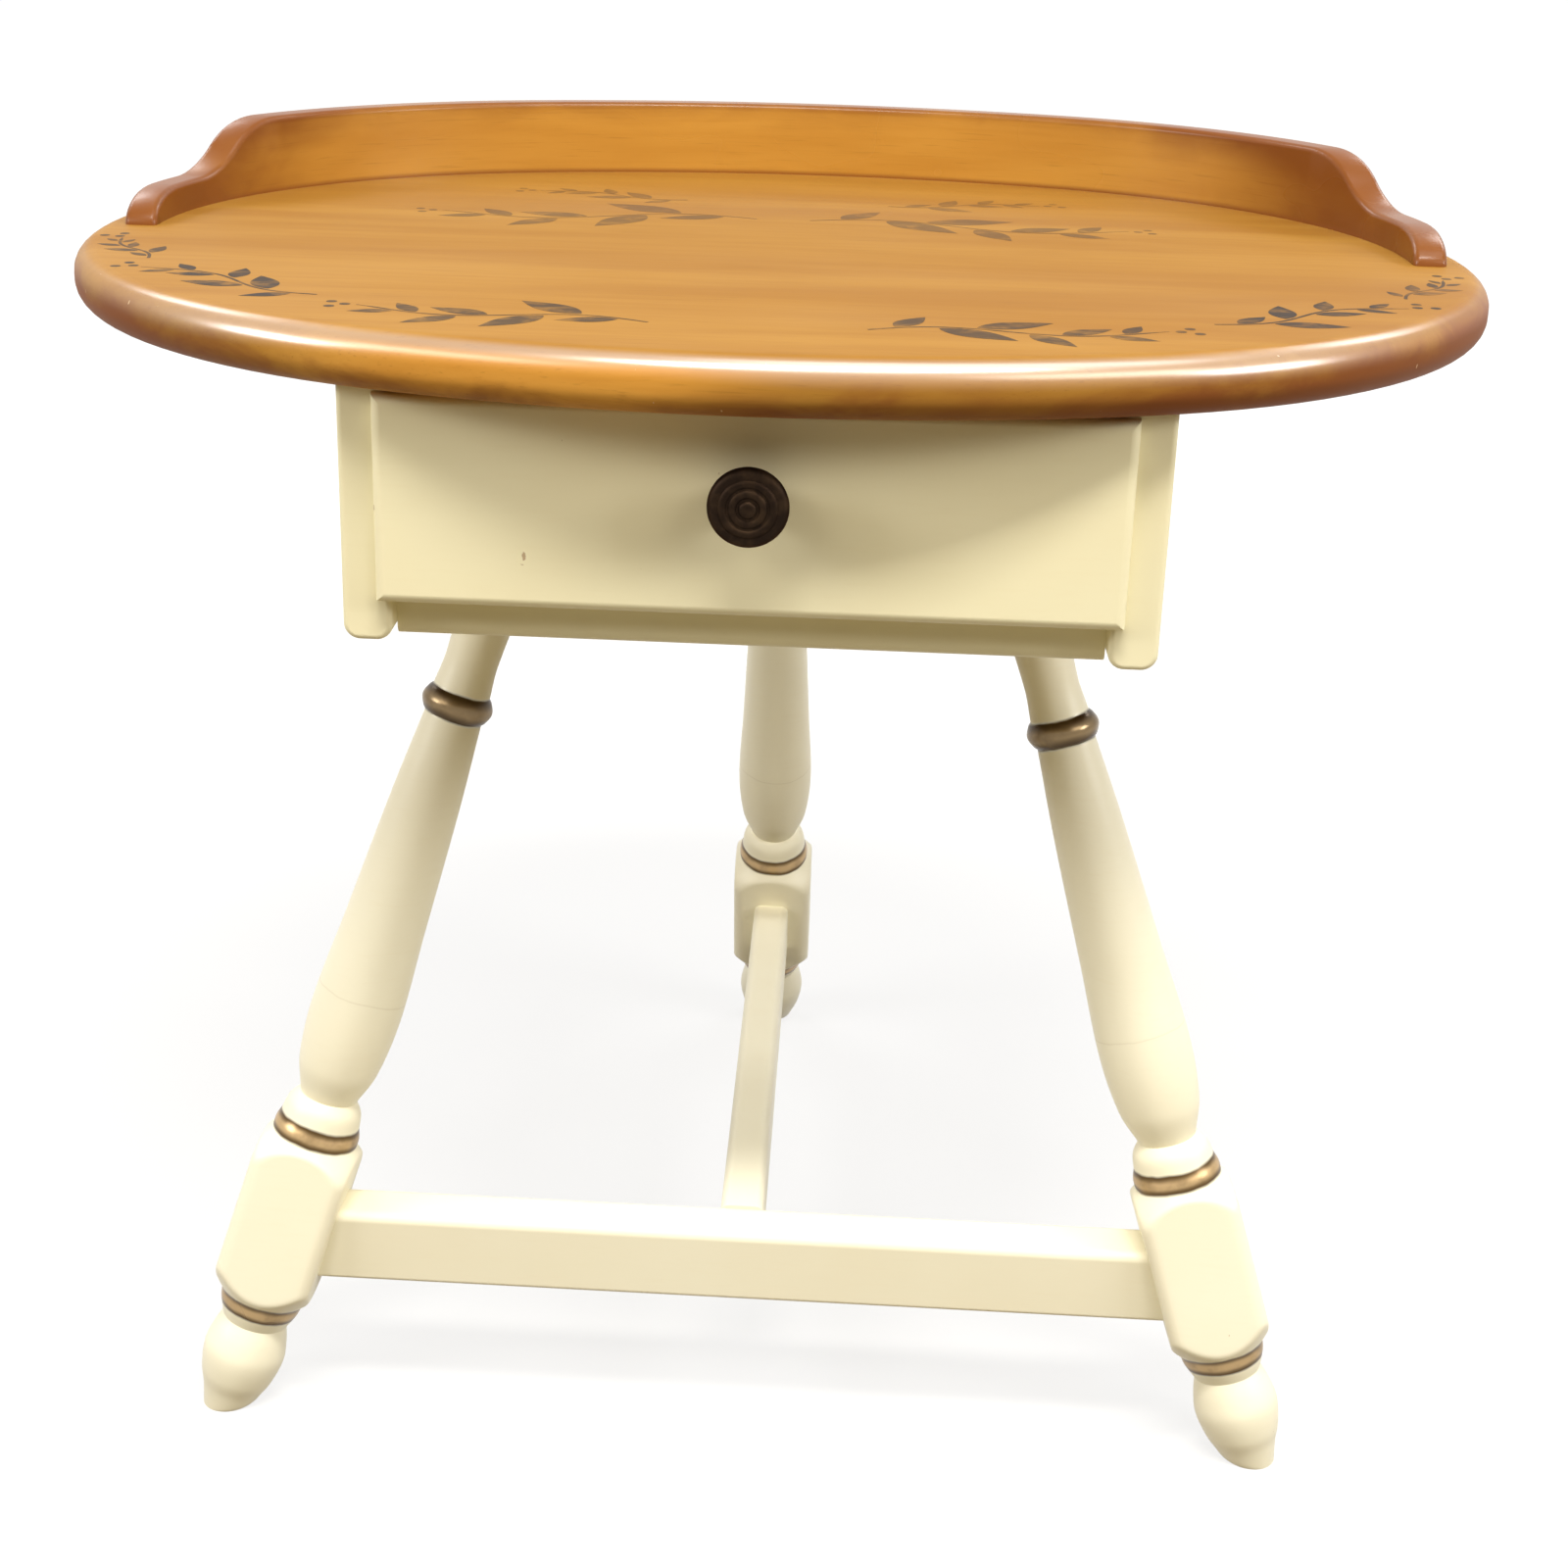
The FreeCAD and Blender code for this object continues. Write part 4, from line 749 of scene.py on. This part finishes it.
def stroke_points(stroke, spacing):
    """Points along one smooth stroke of a turned section, without its last."""
    knots = [Vector(p) for p in stroke]
    if len(knots) == 2:
        start, end = knots
        count = max(1, round((end - start).length / spacing))
        return [start.lerp(end, step / count) for step in range(count)]
    knots = [2 * knots[0] - knots[1], *knots, 2 * knots[-1] - knots[-2]]
    points = []
    for before, a, b, after in zip(knots, knots[1:], knots[2:], knots[3:]):
        reach = (b - a).length
        lead = (b - before) * reach / (reach + (a - before).length)
        trail = (after - a) * reach / ((after - b).length + reach)
        count = max(2, round(reach / spacing))
        for step in range(count):
            t = step / count
            points.append((2 * t**3 - 3 * t**2 + 1) * a + (t**3 - 2 * t**2 + t) * lead
                          + (3 * t**2 - 2 * t**3) * b + (t**3 - t**2) * trail)
    return points


def square_reach(half, ease, angle):
    """Distance from the middle of an eased square to its side in a direction."""
    a, b = abs(math.cos(angle)), abs(math.sin(angle))
    flat = half / max(a, b)
    inner = half - ease
    if flat * min(a, b) <= inner:
        return flat
    reach = inner * (a + b)
    return reach + math.sqrt(max(0.0, reach**2 - 2 * inner**2 + ease**2))


def softer_least(a, b, blend):
    """The lesser of two lengths, with a rounded change between them."""
    near = max(blend - abs(a - b), 0) / blend
    return min(a, b) - near * near * blend / 4


def turned_leg(azimuth, turn, sizes):
    """A leg: its section spun, its block squared, leaned to its place and levelled with the floor."""
    work = bmesh.new()
    points = [point for stroke in TURNING for point in stroke_points(stroke, TURNING_STEP)]
    points.append(Vector(TURNING[-1][-1]))
    verts = [bmesh.ops.create_vert(work, co=(p.x * MM, 0, p.y * MM))["vert"][0] for p in points]
    for pair in zip(verts, verts[1:]):
        bmesh.ops.contextual_create(work, geom=list(pair))
    bmesh.ops.spin(work, geom=work.verts[:] + work.edges[:], cent=(0, 0, 0), axis=(0, 0, 1),
                   angle=2 * math.pi, steps=TURNING_SIDES, use_merge=True)
    bmesh.ops.remove_doubles(work, verts=work.verts, dist=SAME)
    bmesh.ops.holes_fill(work, edges=[edge for edge in work.edges if edge.is_boundary], sides=0)
    along = work.verts.layers.float.new("along")
    for vert in work.verts:
        vert[along] = vert.co.z
        if BLOCK[0] * MM <= vert.co.z <= BLOCK[1] * MM:
            angle = math.atan2(vert.co.y, vert.co.x) - math.radians(turn)
            radius = vert.co.xy.length
            square = square_reach(sizes.block_half, sizes.block_ease, angle)
            vert.co.xy *= softer_least(radius, square, sizes.block_blend) / radius
    azimuth = math.radians(azimuth)
    x, y = sizes.foot_circle * math.cos(azimuth), sizes.foot_circle * math.sin(azimuth) - sizes.top_shift
    place = (Matrix.Translation((x, y, 0)) @ Matrix.Rotation(azimuth - math.pi / 2, 4, "Z")
             @ Matrix.Rotation(sizes.splay, 4, "X"))
    bmesh.ops.transform(work, matrix=place, verts=work.verts)
    for vert in work.verts:
        vert.co.z = -softer_least(-vert.co.z, 0.0, sizes.sole_round)
    bmesh.ops.recalc_face_normals(work, faces=work.faces)
    return work


class TAVERN_OT_legs(bpy.types.Operator):
    """Turns the three legs with their rings, blocks and feet"""
    bl_idname = "tavern.legs"
    bl_label = "Turned legs"

    def execute(self, context):
        sizes, colours = context.scene.tavern_sizes, context.scene.tavern_colours
        finish = finished("ringed_cream_paint", leg_finish, colours)
        for name, (azimuth, turn) in LEGS.items():
            work = turned_leg(azimuth, turn, sizes)
            smooth_above(new_piece("turned_" + name, work, finish, (name,)), 38)
        return {"FINISHED"}


class TAVERN_OT_case(bpy.types.Operator):
    """Paints the case, the bottom board and the stretchers"""
    bl_idname = "tavern.case"
    bl_label = "Painted case and stretchers"

    def execute(self, context):
        colours = context.scene.tavern_colours
        # The case takes the darker, shaded copy of the cream and the stretchers the paler, lit copy: painted
        # shade and painted light.
        dress(("left_side_panel", "right_side_panel", "bottom_board", "back_panel", "front_top_rail"),
              finished("case_paint", cream_finish, colours.shaded_case_cream, colours))
        dress(("front_stretcher", "middle_stretcher"),
              finished("stretcher_paint", cream_finish, colours.lit_leg_cream, colours))
        return {"FINISHED"}


class TAVERN_OT_drawer(bpy.types.Operator):
    """Finishes the drawer: painted front, bare box, bronze knob"""
    bl_idname = "tavern.drawer"
    bl_label = "Drawer and knob"

    def execute(self, context):
        colours = context.scene.tavern_colours
        # The drawer front takes the case's darker, shaded copy of the cream: painted shade.
        dress(("drawer_front",),
              finished("drawer_paint", cream_finish, colours.shaded_case_cream, colours, DRAWER_NICKS))
        dress(("drawer_left_side", "drawer_right_side"), long_poplar(colours))
        dress(("drawer_back", "drawer_bottom"),
              finished("bare_poplar_cross", bare_wood_finish, colours.poplar))
        dress(("drawer_knob",), finished("dark_bronze", bronze_finish, colours))
        return {"FINISHED"}


class TAVERN_OT_inner_wood(bpy.types.Operator):
    """Finishes the runners, kickers, dowels and screws inside the table"""
    bl_idname = "tavern.inner_wood"
    bl_label = "Inner wood and fasteners"

    def execute(self, context):
        colours = context.scene.tavern_colours
        dress(("left_kicker", "right_kicker", "left_runner", "right_runner"), long_poplar(colours))
        dress(("gallery_dowels", "case_dowels"), finished("birch", bare_wood_finish, colours.birch))
        dress(("tabletop_screws", "knob_screw"), finished("zinc_steel", steel_finish, colours.steel))
        return {"FINISHED"}


def lay_floor():
    """A wide floor that the camera sees as white, with the object's shadow on it."""
    work = bmesh.new()
    bmesh.ops.create_grid(work, x_segments=8, y_segments=8, size=FLOOR_REACH)
    floor = new_object("floor", work)
    f = Finish("pale_floor", base_color=rgba(FLOOR_TINT), roughness=0.9, specular=0.0)
    glow = f.span(f.distance(f.place()), FLOOR_NEAR, FLOOR_FAR, start=FLOOR_GLOW)
    shown = f.node("AddShader", {
        0: f.node("Emission", {"Color": (1, 1, 1, 1), "Strength": glow}).outputs[0],
        1: f.node("BsdfDiffuse", {"Color": rgba([FLOOR_GREY] * 3)}).outputs[0],
    })
    both = f.node("MixShader", {0: f.straight_rays(), 1: f.shader.outputs[0], 2: shown.outputs[0]})
    f.feed(f.tree.nodes["Material Output"], {"Surface": both.outputs[0]})
    floor.data.materials.append(f.material)


def light_room(scene):
    """A dim warm room that the camera sees as white."""
    scene.world = bpy.data.worlds.new("soft_room")
    scene.world.use_nodes = True
    room = Nodes(scene.world.node_tree)
    seen = room.straight_rays()
    level = room.span(seen, 0.0, 1.0, start=ROOM_LEVEL)
    tint = room.mix(seen, rgba(ROOM_TINT), (1, 1, 1, 1))
    room.feed(room.tree.nodes["Background"], {"Color": tint, "Strength": level})


def soft_lamp(name, azimuth, elevation, distance, width, height, level, colour):
    """A soft lamp that faces the table; at level 1 a white card that faces it renders white."""
    data = bpy.data.lights.new(name, "AREA")
    data.shape = "RECTANGLE"
    data.size = width
    data.size_y = height
    data.energy = level * (math.pi * distance) ** 2
    data.color = colour
    lamp = bpy.data.objects.new(name, data)
    a, e = math.radians(azimuth), math.radians(elevation)
    away = Vector((math.sin(a) * math.cos(e), -math.cos(a) * math.cos(e), math.sin(e)))
    lamp.location = Vector(LAMP_TARGET) + away * distance
    lamp.rotation_euler = away.to_track_quat("Z", "Y").to_euler()
    bpy.context.scene.collection.objects.link(lamp)


def set_camera(scene):
    data = bpy.data.cameras.new("camera")
    data.sensor_width = 36
    data.lens = CAMERA_LENS
    data.shift_x, data.shift_y = CAMERA_SHIFT
    camera = bpy.data.objects.new("camera", data)
    camera.location = CAMERA_PLACE
    tilt = Matrix.Rotation(math.pi / 2 - CAMERA_DROP, 3, "X")
    turn = Matrix.Rotation(CAMERA_TURN, 3, "Z") @ tilt @ Matrix.Rotation(CAMERA_ROLL, 3, "Z")
    camera.rotation_euler = turn.to_euler()
    scene.collection.objects.link(camera)
    scene.camera = camera
    scene.view_settings.view_transform = "Standard"


class TAVERN_OT_stage(bpy.types.Operator):
    """Sets the floor, the soft lamps and the camera"""
    bl_idname = "tavern.stage"
    bl_label = "Stage"

    def execute(self, context):
        lay_floor()
        light_room(context.scene)
        for side, prefix in ((-1, "left_"), (1, "right_")):
            for name, (azimuth, *lamp) in SIDE_LAMPS.items():
                soft_lamp(prefix + name, azimuth * side, *lamp)
        for name, lamp in MIDDLE_LAMPS.items():
            soft_lamp(name, *lamp)
        set_camera(context.scene)
        return {"FINISHED"}


OPERATORS = (TAVERN_OT_top, TAVERN_OT_gallery, TAVERN_OT_stencil, TAVERN_OT_case, TAVERN_OT_drawer,
             TAVERN_OT_legs, TAVERN_OT_inner_wood, TAVERN_OT_stage)


class TAVERN_PT_panel(bpy.types.Panel):
    """Sizes, colours and pieces of the table"""
    bl_idname = "TAVERN_PT_panel"
    bl_label = "Tavern Table"
    bl_space_type = "VIEW_3D"
    bl_region_type = "UI"
    bl_category = "Tavern Table"

    def draw(self, context):
        column = self.layout.column(align=True)
        for operator in OPERATORS:
            column.operator(operator.bl_idname)
        for group in (context.scene.tavern_sizes, context.scene.tavern_colours):
            box = self.layout.box()
            for name in group.__annotations__:
                box.prop(group, name)


CLASSES = (TavernTableSizes, TavernTableColours, *OPERATORS, TAVERN_PT_panel)


def register():
    for item in CLASSES:
        bpy.utils.register_class(item)
    bpy.types.Scene.tavern_sizes = bpy.props.PointerProperty(type=TavernTableSizes)
    bpy.types.Scene.tavern_colours = bpy.props.PointerProperty(type=TavernTableColours)


def unregister():
    del bpy.types.Scene.tavern_colours
    del bpy.types.Scene.tavern_sizes
    for item in reversed(CLASSES):
        bpy.utils.unregister_class(item)


def main():
    register()
    bpy.ops.tavern.top()
    bpy.ops.tavern.gallery()
    bpy.ops.tavern.stencil()
    bpy.ops.tavern.case()
    bpy.ops.tavern.drawer()
    bpy.ops.tavern.legs()
    bpy.ops.tavern.inner_wood()
    bpy.ops.tavern.stage()
    bpy.context.view_layer.update()


if __name__ == "__main__":
    main()
